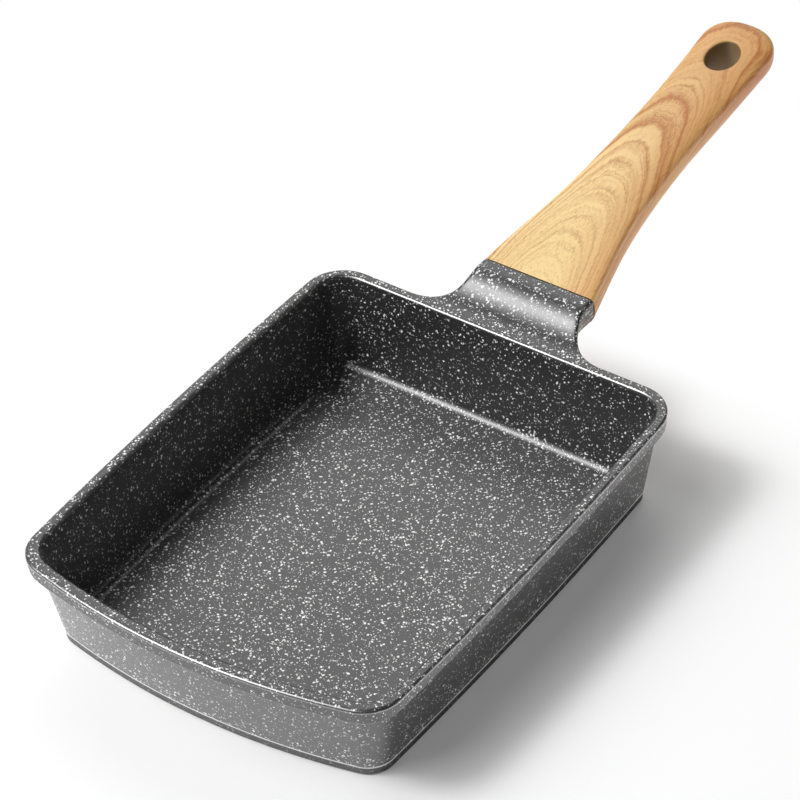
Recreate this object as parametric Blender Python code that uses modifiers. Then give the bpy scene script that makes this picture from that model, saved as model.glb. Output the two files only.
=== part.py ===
"""A rectangular rolled-omelette pan: one cast vessel with its neck and tang, and a screwed-on grip.

Metres, +Z up. The grip runs along +Y and the bowed pouring edge faces -Y. The origin is on the
surface that the pan stands on, half way across the pan and REAR_REACH in front of the rim's rear edge.
"""
import math

import bmesh
import bpy
from mathutils import Matrix, Vector

COLLECTION = "omelette_pan"

# Driving sizes of the vessel
RIM_WIDTH = 0.1428           # across the rim where its bowed sides are widest
SIDE_RADIUS = 1.99           # plan radius of the long, slightly bowed sides
WIDEST_Y = -0.0098           # where along the pan they stand widest
REAR_REACH = 0.0873          # from the origin to the rim's rear edge
FRONT_REACH = 0.0866         # and to the ends of the bowed front edge
FRONT_WIDTH = 0.140          # across those ends
FRONT_BOW = 0.0102           # how far the middle of the front edge stands out
REAR_CORNER = 0.01425        # plan radius of the rear corners at the rim
REAR_FOOT_CORNER = 0.0070    # and at the foot
FRONT_CORNER = 0.0138        # plan radius of the front corners at the rim
FRONT_FOOT_CORNER = 0.0095   # and at the foot
PAN_HEIGHT = 0.0368          # from the stand to the rim's flat top
RIM_ROUND = 0.0006           # rounding of the rim's outer top edge
RIM_INNER_ROUND = 0.0010     # and of its inner top edge
COLLAR_HEIGHT = 0.0065       # height of the thick band under the rim
COLLAR_DRAFT = 0.0006        # how far the band's foot is drawn in
COLLAR_STEP = 0.0026         # step from the band in to the wall
WALL_TAPER = 0.0046          # how far the wall is drawn in on its way down
WALL_TOP = 0.0022            # wall thickness just under the band
WALL_FOOT = 0.0036           # wall thickness at the foot
FLOOR_HEIGHT = 0.0042        # the cooking surface above the stand
FLOOR_FILLET = 0.0042        # radius between the cooking surface and the wall
PLINTH_HEIGHT = 0.0030       # height of the plain foot under the wall
PLINTH_STEP = 0.0003         # step from the wall in to the foot
PLINTH_ROUND = 0.0005        # rounding of the foot's lower edge
SMALLEST_CORNER = 0.0020     # no plan corner gets tighter than this
BAND_FILLET = 0.6            # radius under the band, as a share of the step

# Driving sizes of the perforated base plate
PLATE_MARGIN = 0.0080        # from the foot's edge to the plate's edge
PLATE_THICKNESS = 0.0010
PERFORATION = 0.0050         # diameter of each hole in the plate
PERFORATION_PITCH = 0.0170   # spacing of the holes along a row
PLAIN_CENTRE = 0.0120        # radius in the middle of the plate without holes

# Driving sizes of the neck
NECK_LENGTH = 0.0209         # from the rim's rear edge to the grip
NECK_RISE = 0.0069           # how far the neck climbs above the rim
NECK_HALF_WIDTH = 0.0215     # half the neck's width where it meets the grip
NECK_SPREAD = 0.0006         # how much wider it is before its flare begins
FLARE_WIDTH = 0.0145         # how far the neck flares out on each side at the rim
FLARE_LENGTH = 0.0148        # length of that flare
NECK_CROWN = 0.0018          # from the widest line of a section up to its top
NECK_WEB = 0.0034            # from the widest line down to the underside, before the socket
SOCKET_LENGTH = 0.0115       # length of the deep boss that the grip butts against
CLIMB_START = 0.0003         # from the rim's rear edge to the start of the neck's climb
CLIMB_FOOT = 0.0095          # length over which the climb steepens
CLIMB_HEAD = 0.0079          # length over which it levels out again
BOSS_START = 0.45            # share of the neck's length where its underside starts to round off
NECK_SHARES = (0.0, 0.012, 0.035, 0.07, 0.12, 0.18, 0.25, 0.33, 0.41, 0.48, 0.53, 0.58, 0.64, 0.71,
               0.79, 0.88, 1.0)  # where the neck's cross-sections lie along it

# Squareness of the neck's and grip's cross-sections: 2 is an ellipse, more is boxier
JOINT_TOP_POWER = 6.0
TIP_TOP_POWER = 2.4
TOP_POWER_REACH = 0.4        # share of the grip's length over which its top loses its squareness
ROOT_UNDER_POWER = 4.0
NECK_UNDER_POWER = 3.4
JOINT_UNDER_POWER = 2.7
TIP_UNDER_POWER = 2.3
TIP_PLAN_POWER = 2.2         # and of the tip's plan

# Driving sizes of the grip
GRIP_LENGTH = 0.1358         # measured along Y
GRIP_RISE = 0.0196           # climb of the widest line from neck to tip
GRIP_START_SLOPE = 0.249
GRIP_END_SLOPE = 0.197
GRIP_HALF_WIDTHS = (0.0215, 0.0153, 0.0131, 0.0130, 0.0142)
GRIP_CROWNS = (0.0018, 0.0030, 0.0038, 0.0041, 0.0043)
GRIP_DEPTHS = (0.0170, 0.0151, 0.0124, 0.0128, 0.0120)
TIP_PLAN_ROUND = 0.0124      # length over which the tip rounds off in plan
TIP_SIDE_ROUND = 0.0062      # length over which the tip rounds off in height
HANG_SETBACK = 0.0192        # from the tip to the hanging hole's centre
HANG_HALF_WIDTH = 0.0057
HANG_HALF_LENGTH = 0.0073
HANG_FLARE = 0.0010          # rounding of the hanging hole's two edges

# Driving sizes of the tang and its screw
TANG_LENGTH = 0.0420
TANG_WIDTH = 0.0150
TANG_THICKNESS = 0.0060
TANG_DROP = 0.0036           # from the grip's widest line down to the tang's middle
TANG_TAPER = 0.7             # the tang's end width as a share of its root width
TANG_CHAMFER = 0.0015
SCREW_SETBACK = 0.0250       # from the joint to the screw, along the tang
SCREW_DIAMETER = 0.0048
SCREW_REACH = 0.0085         # shank above the head's bearing face
HEAD_DIAMETER = 0.0088
HEAD_HEIGHT = 0.0024
SEAT_THICKNESS = 0.0030      # grip wall that the screw clamps
WASHER_THICKNESS = 0.0008
SPRING_WASHER_THICKNESS = 0.0011
WASHER_DIAMETER = 0.0100
SPRING_WASHER_DIAMETER = 0.0085
SPRING_LIFT = 0.00016        # how far the spring washer's two ends stand apart
SPRING_CUT = 8               # half the angle of its cut, in degrees
HEAD_EDGE = 0.86             # the head's radius above its rounding, as a share of the full radius
HEAD_TOP = 0.60              # and at its flat top
RECESS_LENGTH = 0.0049       # length of each arm pair of the driver's recess
RECESS_WIDTH = 0.0011

# Clearances
GAP = 0.0003                 # between two pieces that meet
STACK_GAP = 0.0002           # between the screw's head, its washers and their seat
THREAD_GAP = 0.0003          # round the shank
SINK = 0.00002               # the neck's root lies this far under the rim's top
BURIED = 0.0024              # how far joined shapes reach into each other

# Facets
CORNER_STEPS = 7
SIDE_STEPS = 6
FRONT_STEPS = 14
SECTION_POINTS = 36
ROUND_STEPS = 24
HOLE_STEPS = 10
TAPPED_HOLE_STEPS = 16
GRIP_STEPS = 20
TIP_STEPS = 8
FLARE_STEPS = 4
FILLET_STEPS = 5
LAST_RING = 0.9998           # the tip's last ring, as a share of the grip's length
SHARP_ANGLE = math.radians(32)

# Places that follow from the sizes
HALF_WIDTH = RIM_WIDTH / 2
JOINT_Y = REAR_REACH + NECK_LENGTH
JOINT_Z = PAN_HEIGHT + NECK_RISE - NECK_CROWN


def clear_scene():
    """Remove whatever the file starts with."""
    for item in list(bpy.data.objects):
        bpy.data.objects.remove(item, do_unlink=True)


def new_collection(name):
    """Add a collection to the scene."""
    made = bpy.data.collections.new(name)
    bpy.context.scene.collection.children.link(made)
    return made


def new_object(name, mesh, collection, parent=None):
    """Put a mesh in the scene under a name."""
    made = bpy.data.objects.new(name, mesh)
    collection.objects.link(made)
    made.parent = parent
    return made


def new_material(name, colour, roughness, metallic):
    """A plain Principled finish."""
    finish = bpy.data.materials.new(name)
    finish.use_nodes = True
    shader = finish.node_tree.nodes["Principled BSDF"]
    shader.inputs["Base Color"].default_value = (*colour, 1.0)
    shader.inputs["Roughness"].default_value = roughness
    shader.inputs["Metallic"].default_value = metallic
    finish.diffuse_color = (*colour, 1.0)
    return finish


def loft_mesh(name, rings, closed=False):
    """Skin rings of equally many points; the two ends are capped unless the rings close on themselves."""
    shape = bmesh.new()
    rows = [[shape.verts.new(point) for point in ring] for ring in rings]
    pairs = list(zip(rows, rows[1:]))
    if closed:
        pairs.append((rows[-1], rows[0]))
    for low, high in pairs:
        count = len(low)
        for i in range(count):
            j = (i + 1) % count
            shape.faces.new((low[i], low[j], high[j], high[i]))
    if not closed:
        shape.faces.new(rows[0][::-1])
        shape.faces.new(rows[-1])
    bmesh.ops.recalc_face_normals(shape, faces=shape.faces)
    mesh = bpy.data.meshes.new(name)
    shape.to_mesh(mesh)
    shape.free()
    return mesh


def turned_object(name, profile, collection, parent=None, steps=ROUND_STEPS):
    """Turn a profile of (radius, height) points, top to bottom, about the local Z axis."""
    mesh = bpy.data.meshes.new(name)
    points = [(radius, 0.0, height) for radius, height in profile]
    mesh.from_pydata(points, [(i, i + 1) for i in range(len(points) - 1)], [])
    made = new_object(name, mesh, collection, parent)
    screw = made.modifiers.new("turn", "SCREW")
    screw.axis = "Z"
    screw.steps = steps
    screw.render_steps = steps
    screw.use_merge_vertices = True
    screw.merge_threshold = 0.000001
    return made


def cutter(made):
    """Mark an object as a guide that only cuts or joins."""
    made.hide_render = True
    made.display_type = "WIRE"
    return made


def combine(target, tool, operation):
    """Add an exact boolean."""
    modifier = target.modifiers.new(operation.lower(), "BOOLEAN")
    modifier.operation = operation
    modifier.solver = "EXACT"
    modifier.object = tool
    return modifier


def smooth(made):
    """Shade the round faces smooth."""
    made.data.shade_smooth()
    made.data.set_sharp_from_angle(angle=SHARP_ANGLE)


def arc_points(centre, radius, start, end, steps):
    """Points along a plan arc, both ends included."""
    angles = [start + (end - start) * i / steps for i in range(steps + 1)]
    return [(centre[0] + radius * math.cos(a), centre[1] + radius * math.sin(a)) for a in angles]


def corner_radius(inset, at_rim, at_foot):
    """A plan corner's radius, which changes evenly as the outline moves in."""
    radius = blend(at_rim, at_foot, inset / wall_inset(PLINTH_HEIGHT))
    return max(radius, SMALLEST_CORNER)


def circles_meet(first, first_radius, second, second_radius):
    """Where two plan circles cross, on the first one's right-hand, front side."""
    across = (second[0] - first[0], second[1] - first[1])
    apart = math.hypot(*across)
    along = (apart ** 2 + first_radius ** 2 - second_radius ** 2) / (2 * apart)
    off = math.sqrt(first_radius ** 2 - along ** 2)
    ahead = (across[0] / apart, across[1] / apart)
    return (first[0] + ahead[0] * along + ahead[1] * off, first[1] + ahead[1] * along - ahead[0] * off)


def heading(centre, point):
    """The plan angle from one point to another."""
    return math.atan2(point[1] - centre[1], point[0] - centre[0])


def plan_outline(inset):
    """The plan outline moved in by inset: straight at the rear, bowed at the front and the sides."""
    rear = corner_radius(inset, REAR_CORNER, REAR_FOOT_CORNER)
    front = corner_radius(inset, FRONT_CORNER, FRONT_FOOT_CORNER)
    side = (HALF_WIDTH - inset - SIDE_RADIUS, WIDEST_Y)
    half = FRONT_WIDTH / 2 - inset
    bow = FRONT_BOW * (2 * half / FRONT_WIDTH) ** 2
    bow_radius = (half * half + bow * bow) / (2 * bow)
    bow_centre = (0.0, bow_radius - bow - FRONT_REACH + inset)
    front_centre = circles_meet(side, SIDE_RADIUS - front, bow_centre, bow_radius - front)
    rear_y = REAR_REACH - inset - rear
    rear_centre = (side[0] + math.sqrt((SIDE_RADIUS - rear) ** 2 - (rear_y - WIDEST_Y) ** 2), rear_y)
    bow_end = heading(bow_centre, front_centre)
    side_start = heading(side, front_centre)
    side_end = heading(side, rear_centre)
    edge = arc_points(front_centre, front, bow_end, side_start, CORNER_STEPS)[:-1]
    edge += arc_points(side, SIDE_RADIUS, side_start, side_end, SIDE_STEPS)[:-1]
    edge += arc_points(rear_centre, rear, side_end, math.pi / 2, CORNER_STEPS)
    points = arc_points(bow_centre, bow_radius, -math.pi - bow_end, bow_end, FRONT_STEPS)[1:-1]
    return points + edge + [(-x, y) for x, y in reversed(edge)]


def plan_ring(inset, height):
    """The plan outline at a height."""
    return [(x, y, height) for x, y in plan_outline(inset)]


def round_profile(centre, radius, start, end, steps=3):
    """(inset, height) points along an arc of the wall's cross-section; angles in degrees."""
    return arc_points(centre, radius, math.radians(start), math.radians(end), steps)


def share_down(height):
    """A height's place on the wall, from 0 under the band to 1 at the foot."""
    top = PAN_HEIGHT - COLLAR_HEIGHT
    return (top - height) / (top - PLINTH_HEIGHT)


def wall_inset(height):
    """How far the outer wall is inside the rim's outline at a height."""
    return COLLAR_DRAFT + COLLAR_STEP + WALL_TAPER * share_down(height)


def inner_inset(height):
    """How far the inner wall is inside the rim's outline at a height."""
    return wall_inset(height) + blend(WALL_TOP, WALL_FOOT, share_down(height))


def vessel_profile():
    """(inset, height) points from under the foot, up the outside, over the rim and down to the floor."""
    foot = wall_inset(PLINTH_HEIGHT) + PLINTH_STEP
    band_foot = PAN_HEIGHT - COLLAR_HEIGHT
    points = round_profile((foot + PLINTH_ROUND, PLINTH_ROUND), PLINTH_ROUND, 270, 180)
    points += [(foot, PLINTH_HEIGHT - PLINTH_STEP), (wall_inset(PLINTH_HEIGHT), PLINTH_HEIGHT)]
    fillet = COLLAR_STEP * BAND_FILLET
    points += [(wall_inset(band_foot - 3 * fillet), band_foot - 3 * fillet)]
    points += [(wall_inset(band_foot - fillet), band_foot - fillet)]
    points += [(COLLAR_DRAFT + COLLAR_STEP - fillet * 0.7, band_foot - fillet * 0.3)]
    points += [(COLLAR_DRAFT + RIM_ROUND * 0.5, band_foot)]
    points += [(COLLAR_DRAFT, band_foot + RIM_ROUND)]
    points += round_profile((RIM_ROUND, PAN_HEIGHT - RIM_ROUND), RIM_ROUND, 180, 90)
    inner_edge = (inner_inset(PAN_HEIGHT) - RIM_INNER_ROUND, PAN_HEIGHT - RIM_INNER_ROUND)
    points += round_profile(inner_edge, RIM_INNER_ROUND, 90, 0)
    slope = math.atan2(inner_inset(FLOOR_HEIGHT) - inner_inset(PAN_HEIGHT), PAN_HEIGHT - FLOOR_HEIGHT)
    reach = FLOOR_FILLET * math.tan((math.pi / 2 - slope) / 2)
    centre = (inner_inset(FLOOR_HEIGHT) + reach, FLOOR_HEIGHT + FLOOR_FILLET)
    points += round_profile(centre, FLOOR_FILLET, 180 + math.degrees(slope), 270, FILLET_STEPS)
    return points


def plinth_outline(margin):
    """The foot's outline moved in by margin."""
    return plan_outline(wall_inset(PLINTH_HEIGHT) + PLINTH_STEP + margin)


def perforation_centres():
    """Staggered rows of holes over the base plate, none of them in its plain middle."""
    edge = wall_inset(PLINTH_HEIGHT) + PLINTH_STEP + PLATE_MARGIN + PERFORATION
    across = FRONT_WIDTH / 2 - edge
    along = FRONT_REACH - edge
    row_pitch = PERFORATION_PITCH * math.sqrt(3) / 2
    rows = int(along / row_pitch)
    centres = []
    for row in range(-rows, rows + 1):
        shift = PERFORATION_PITCH / 2 if row % 2 else 0.0
        columns = int((across + shift) / PERFORATION_PITCH)
        for column in range(-columns, columns + 1):
            x = column * PERFORATION_PITCH + shift
            y = row * row_pitch
            if abs(x) <= across and math.hypot(x, y) > PLAIN_CENTRE:
                centres.append((x, y))
    return centres


def joined_cylinders(name, centres, radius, bottom, top, collection):
    """Upright cylinders over plan centres, as one object."""
    shape = bmesh.new()
    for x, y in centres:
        place = Matrix.Translation((x, y, (bottom + top) / 2))
        bmesh.ops.create_cone(shape, cap_ends=True, segments=HOLE_STEPS, radius1=radius, radius2=radius,
                              depth=top - bottom, matrix=place)
    mesh = bpy.data.meshes.new(name)
    shape.to_mesh(mesh)
    shape.free()
    return new_object(name, mesh, collection)


def power_arc(value, power):
    """A superellipse coordinate from a cosine or sine."""
    return math.copysign(abs(value) ** (2 / power), value)


def section_ring(centre, tilt, half_width, crown, depth, top_power, bottom_power):
    """A closed cross-section of the neck or grip, tilted about X, flat above and rounded below."""
    up = Vector((0.0, -math.sin(tilt), math.cos(tilt)))
    ring = []
    for i in range(SECTION_POINTS):
        angle = 2 * math.pi * (i + 0.5) / SECTION_POINTS
        sine = math.sin(angle)
        above = sine > 0
        power = top_power if above else bottom_power
        rise = power_arc(sine, power) * (crown if above else depth)
        side = power_arc(math.cos(angle), power) * half_width
        ring.append(tuple(Vector((side, centre[0], centre[1])) + up * rise))
    return ring


def mix(values, share):
    """Read a row of evenly spaced values at a share of its length, with smooth joins."""
    place = min(max(share, 0.0), 1.0) * (len(values) - 1)
    i = min(int(place), len(values) - 2)
    t = place - i
    before = values[max(i - 1, 0)]
    after = values[min(i + 2, len(values) - 1)]
    start, end = values[i], values[i + 1]
    start_slope = (end - before) / 2 if i > 0 else end - start
    end_slope = (after - start) / 2 if i + 2 < len(values) else end - start
    cubed, squared = t ** 3, t ** 2
    return ((2 * cubed - 3 * squared + 1) * start + (cubed - 2 * squared + t) * start_slope
            + (3 * squared - 2 * cubed) * end + (cubed - squared) * end_slope)


def ease(share):
    """A smooth step from 0 to 1."""
    t = min(max(share, 0.0), 1.0)
    return t * t * (3 - 2 * t)


def blend(start, end, share):
    """A value between two others."""
    return start + (end - start) * share


def grip_axis(share):
    """The widest line of the grip at a share of its length: (y, z) and its slope angle."""
    t = share
    start = GRIP_START_SLOPE * GRIP_LENGTH
    end = GRIP_END_SLOPE * GRIP_LENGTH
    squared, cubed = t ** 2, t ** 3
    rise = (cubed - 2 * squared + t) * start + (cubed - squared) * end
    rise += (3 * squared - 2 * cubed) * GRIP_RISE
    pitch = (3 * squared - 4 * t + 1) * start + (3 * squared - 2 * t) * end
    pitch += 6 * (t - squared) * GRIP_RISE
    return (JOINT_Y + t * GRIP_LENGTH, JOINT_Z + rise), math.atan2(pitch, GRIP_LENGTH)


def neck_height(distance):
    """Height of the neck's widest line at a distance behind the rim, over a short steep climb."""
    length = CLIMB_FOOT + CLIMB_HEAD
    into = min(max(distance - CLIMB_START, 0.0), length)
    climb = into ** 2 / (CLIMB_FOOT * length)
    if into > CLIMB_FOOT:
        climb = 1 - (length - into) ** 2 / (CLIMB_HEAD * length)
    return PAN_HEIGHT - NECK_CROWN - SINK + (NECK_RISE + SINK) * climb


def neck_half_width(distance):
    """Half the neck's width at a distance behind the rim, with its concave flare."""
    lean = NECK_SPREAD * (1 - distance / NECK_LENGTH)
    left = max(FLARE_LENGTH - distance, 0.0) / FLARE_LENGTH
    return NECK_HALF_WIDTH + lean + FLARE_WIDTH * (1 - math.sqrt(max(1 - left * left, 0.0)))


def neck_depth(distance):
    """Depth of the neck's underside, which swells into the socket boss before the grip."""
    into = (distance - NECK_LENGTH + SOCKET_LENGTH) / SOCKET_LENGTH
    swell = math.sqrt(max(1 - (1 - max(into, 0.0)) ** 2, 0.0))
    return NECK_WEB + (GRIP_DEPTHS[0] - NECK_WEB) * swell


def neck_rings():
    """Cross-sections of the neck from inside the rim to the joint."""
    joint_tilt = grip_axis(0.0)[1]
    root = REAR_REACH - BURIED
    root_depth = COLLAR_HEIGHT - NECK_CROWN - GAP
    rings = [section_ring((root, neck_height(0.0)), 0.0, neck_half_width(0.0), NECK_CROWN, root_depth,
                          JOINT_TOP_POWER, ROOT_UNDER_POWER)]
    for share in NECK_SHARES:
        distance = share * NECK_LENGTH
        depth = max(neck_depth(distance), root_depth * (1 - share))
        rounding = ease((share - BOSS_START) / (1 - BOSS_START))
        under_power = blend(NECK_UNDER_POWER, JOINT_UNDER_POWER, rounding)
        centre = (REAR_REACH + distance, neck_height(distance))
        rings.append(section_ring(centre, joint_tilt * ease(share), neck_half_width(distance), NECK_CROWN,
                                  depth, JOINT_TOP_POWER, under_power))
    return rings


def grip_frame(share):
    """A matrix at a share of the grip's length: local Y along the grip, local Z up through it."""
    centre, tilt = grip_axis(share)
    return Matrix.Translation((0.0, centre[0], centre[1])) @ Matrix.Rotation(tilt, 4, "X")


def grip_rings():
    """Cross-sections of the grip from the joint to its rounded tip."""
    start = GAP / GRIP_LENGTH
    plan = 1 - TIP_PLAN_ROUND / GRIP_LENGTH
    side = 1 - TIP_SIDE_ROUND / GRIP_LENGTH
    shares = [blend(start, plan, i / GRIP_STEPS) for i in range(GRIP_STEPS)]
    shares += [blend(plan, 1.0, math.sin(math.pi / 2 * i / TIP_STEPS)) for i in range(TIP_STEPS)]
    shares.append(LAST_RING)
    rings = []
    for share in shares:
        centre, tilt = grip_axis(share)
        in_plan = max(share - plan, 0.0) / (1 - plan)
        in_height = max(share - side, 0.0) / (1 - side)
        narrowing = (1 - in_plan ** TIP_PLAN_POWER) ** (1 / TIP_PLAN_POWER)
        flattening = math.sqrt(1 - in_height ** 2)
        rings.append(section_ring(centre, tilt, mix(GRIP_HALF_WIDTHS, share) * narrowing,
                                  mix(GRIP_CROWNS, share) * flattening, mix(GRIP_DEPTHS, share) * flattening,
                                  blend(JOINT_TOP_POWER, TIP_TOP_POWER, ease(share / TOP_POWER_REACH)),
                                  blend(JOINT_UNDER_POWER, TIP_UNDER_POWER, ease(share))))
    return rings


def tang_frame():
    """A matrix at the tang's root: local Y along the tang, local Z up through it."""
    centre, tilt = grip_axis(0.0)
    far, _ = grip_axis(TANG_LENGTH / GRIP_LENGTH)
    slope = math.atan2(far[1] - centre[1], far[0] - centre[0])
    drop = Matrix.Rotation(tilt, 4, "X") @ Vector((0.0, 0.0, -TANG_DROP))
    return Matrix.Translation(Vector((0.0, centre[0], centre[1])) + drop) @ Matrix.Rotation(slope, 4, "X")


def tang_mesh(name, growth, start, end):
    """A tapering bar with chamfered corners, larger by growth on every side."""
    frame = tang_frame()
    rings = []
    for distance in (start, end):
        share = max(distance, 0.0) / TANG_LENGTH
        half_width = TANG_WIDTH / 2 * blend(1.0, TANG_TAPER, share) + growth
        half_height = TANG_THICKNESS / 2 + growth
        corners = [(half_width - TANG_CHAMFER, half_height), (half_width, half_height - TANG_CHAMFER)]
        corners += [(x, -z) for x, z in corners[::-1]]
        corners += [(-x, z) for x, z in corners[::-1]]
        rings.append([tuple(frame @ Vector((x, distance, z))) for x, z in corners])
    return loft_mesh(name, rings)


def hanging_hole_mesh(name):
    """An oval cutter through the tip that flares at both faces, so the hole's edges are rounded."""
    share = 1 - HANG_SETBACK / GRIP_LENGTH
    frame = grip_frame(share)
    crown = mix(GRIP_CROWNS, share)
    depth = mix(GRIP_DEPTHS, share)
    turns = [math.pi / 2 * step / FLARE_STEPS for step in range(FLARE_STEPS + 1)]
    flare = [(HANG_FLARE * (1 - math.sin(turn)), HANG_FLARE * (1 - math.cos(turn))) for turn in turns]
    levels = [(HANG_FLARE, -depth - BURIED)]
    levels += [(growth, into - depth) for growth, into in flare]
    levels += [(growth, crown - into) for growth, into in flare[::-1]]
    levels += [(HANG_FLARE, crown + BURIED)]
    lofted = []
    for growth, height in levels:
        ring = []
        for i in range(ROUND_STEPS):
            angle = 2 * math.pi * i / ROUND_STEPS
            x = (HANG_HALF_WIDTH + growth) * math.cos(angle)
            y = (HANG_HALF_LENGTH + growth) * math.sin(angle)
            ring.append(tuple(frame @ Vector((x, y, height))))
        lofted.append(ring)
    return loft_mesh(name, lofted)


def split_ring_mesh(name):
    """A square-section ring that is cut through and sprung open a little."""
    outer = SPRING_WASHER_DIAMETER / 2
    inner = SCREW_DIAMETER / 2 + THREAD_GAP
    half = (SPRING_WASHER_THICKNESS - SPRING_LIFT) / 2
    rings = []
    for i in range(ROUND_STEPS + 1):
        share = i / ROUND_STEPS
        angle = math.radians(blend(SPRING_CUT, 360 - SPRING_CUT, share))
        shift = SPRING_LIFT * (share - 0.5)
        low, high = shift - half, shift + half
        corners = [(inner, low), (outer, low), (outer, high), (inner, high)]
        rings.append([(r * math.cos(angle), r * math.sin(angle), z) for r, z in corners])
    return loft_mesh(name, rings)


def build_pan_body(parts, cutters, screw_axis):
    """The casting: vessel, neck, socket boss and tang, with the base's recess and its studs."""
    rings = [plan_ring(inset, height) for inset, height in vessel_profile()]
    body = new_object("pan_body", loft_mesh("pan_body", rings), parts)
    neck = cutter(new_object("neck_form", loft_mesh("neck_form", neck_rings()), cutters))
    tang = cutter(new_object("tang_form", tang_mesh("tang_form", 0.0, -BURIED, TANG_LENGTH), cutters))
    depth = PLATE_THICKNESS + GAP
    recess_rings = [[(x, y, z) for x, y in plinth_outline(PLATE_MARGIN - GAP)] for z in (-depth, depth)]
    recess = cutter(new_object("recess_form", loft_mesh("recess_form", recess_rings), cutters))
    studs = cutter(joined_cylinders("stud_form", perforation_centres(), PERFORATION / 2 - GAP, 0.0,
                                    depth + BURIED / 2, cutters))
    tapped = SCREW_DIAMETER / 2 + THREAD_GAP
    reach = TANG_THICKNESS
    bore = [(0.0, reach), (tapped, reach), (tapped, -reach), (0.0, -reach)]
    hole = cutter(turned_object("tapped_hole_form", bore, cutters, screw_axis, TAPPED_HOLE_STEPS))
    combine(body, neck, "UNION")
    combine(body, tang, "UNION")
    combine(body, recess, "DIFFERENCE")
    combine(body, studs, "UNION")
    combine(body, hole, "DIFFERENCE")
    smooth(body)
    return body


def build_base_plate(parts, cutters):
    """The magnetic steel plate that lies flush in the foot, with the casting's studs through its holes."""
    rings = [[(x, y, z) for x, y in plinth_outline(PLATE_MARGIN)] for z in (0.0, PLATE_THICKNESS)]
    plate = new_object("induction_plate", loft_mesh("induction_plate", rings), parts)
    holes = cutter(joined_cylinders("perforation_form", perforation_centres(), PERFORATION / 2,
                                    -PLATE_THICKNESS, 2 * PLATE_THICKNESS, cutters))
    combine(plate, holes, "DIFFERENCE")
    smooth(plate)
    return plate


def screw_levels():
    """Heights along the screw's axis, from the middle of the tang: seat, washers, head."""
    seat_top = -TANG_THICKNESS / 2 - GAP
    seat = seat_top - SEAT_THICKNESS
    washer = seat - STACK_GAP - WASHER_THICKNESS / 2
    spring = washer - WASHER_THICKNESS / 2 - STACK_GAP - SPRING_WASHER_THICKNESS / 2
    head = spring - SPRING_WASHER_THICKNESS / 2 - STACK_GAP
    return seat, washer, spring, head


def build_grip(parts, cutters, screw_axis):
    """The moulded grip, with its socket for the tang, the screw's well and the hanging hole."""
    grip = new_object("handle_grip", loft_mesh("handle_grip", grip_rings()), parts)
    hollow = tang_mesh("socket_form", GAP, -BURIED, TANG_LENGTH + GAP)
    socket = cutter(new_object("socket_form", hollow, cutters))
    hang = cutter(new_object("hanging_form", hanging_hole_mesh("hanging_form"), cutters))
    seat = screw_levels()[0]
    well = WASHER_DIAMETER / 2 + GAP
    bore = SCREW_DIAMETER / 2 + THREAD_GAP
    bottom = seat - GRIP_DEPTHS[0]
    profile = [(0.0, 0.0), (bore, 0.0), (bore, seat), (well, seat), (well, bottom), (0.0, bottom)]
    access = cutter(turned_object("screw_well_form", profile, cutters, screw_axis))
    combine(grip, socket, "DIFFERENCE")
    combine(grip, access, "DIFFERENCE")
    combine(grip, hang, "DIFFERENCE")
    smooth(grip)
    return grip


def build_screw(parts, cutters, screw_axis):
    """The cross-recessed screw that clamps the grip to the tang."""
    _, _, _, head = screw_levels()
    shank = SCREW_DIAMETER / 2
    radius = HEAD_DIAMETER / 2
    chamfer = 0.2 * shank
    top = head + SCREW_REACH
    profile = [(0.0, top), (shank - chamfer, top), (shank, top - chamfer), (shank, head), (radius, head)]
    profile += [(radius, head - 0.45 * HEAD_HEIGHT), (HEAD_EDGE * radius, head - 0.8 * HEAD_HEIGHT)]
    profile += [(HEAD_TOP * radius, head - HEAD_HEIGHT), (0.0, head - HEAD_HEIGHT)]
    screw = turned_object("handle_screw", profile, parts, screw_axis)
    for name, turn in (("slot_form", 0.0), ("cross_slot_form", math.pi / 2)):
        shape = bmesh.new()
        size = Matrix.Diagonal((RECESS_LENGTH, RECESS_WIDTH, HEAD_HEIGHT, 1.0))
        bmesh.ops.create_cube(shape, size=1.0, matrix=size)
        mesh = bpy.data.meshes.new(name)
        shape.to_mesh(mesh)
        shape.free()
        slot = cutter(new_object(name, mesh, cutters, screw_axis))
        slot.location = (0.0, 0.0, head - 0.95 * HEAD_HEIGHT)
        slot.rotation_euler = (0.0, 0.0, turn)
        combine(screw, slot, "DIFFERENCE")
    smooth(screw)
    return screw


def build_washers(parts, screw_axis):
    """The plain washer on the grip's seat and the spring washer under the screw's head."""
    _, washer_level, spring_level, _ = screw_levels()
    inner = SCREW_DIAMETER / 2 + THREAD_GAP
    outer = WASHER_DIAMETER / 2
    half = WASHER_THICKNESS / 2
    profile = [(inner, half), (outer, half), (outer, -half), (inner, -half), (inner, half)]
    washer = turned_object("plain_washer", profile, parts, screw_axis)
    washer.location = (0.0, 0.0, washer_level)
    smooth(washer)
    spring = new_object("spring_washer", split_ring_mesh("spring_washer"), parts, screw_axis)
    spring.location = (0.0, 0.0, spring_level)
    smooth(spring)
    return washer, spring


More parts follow.
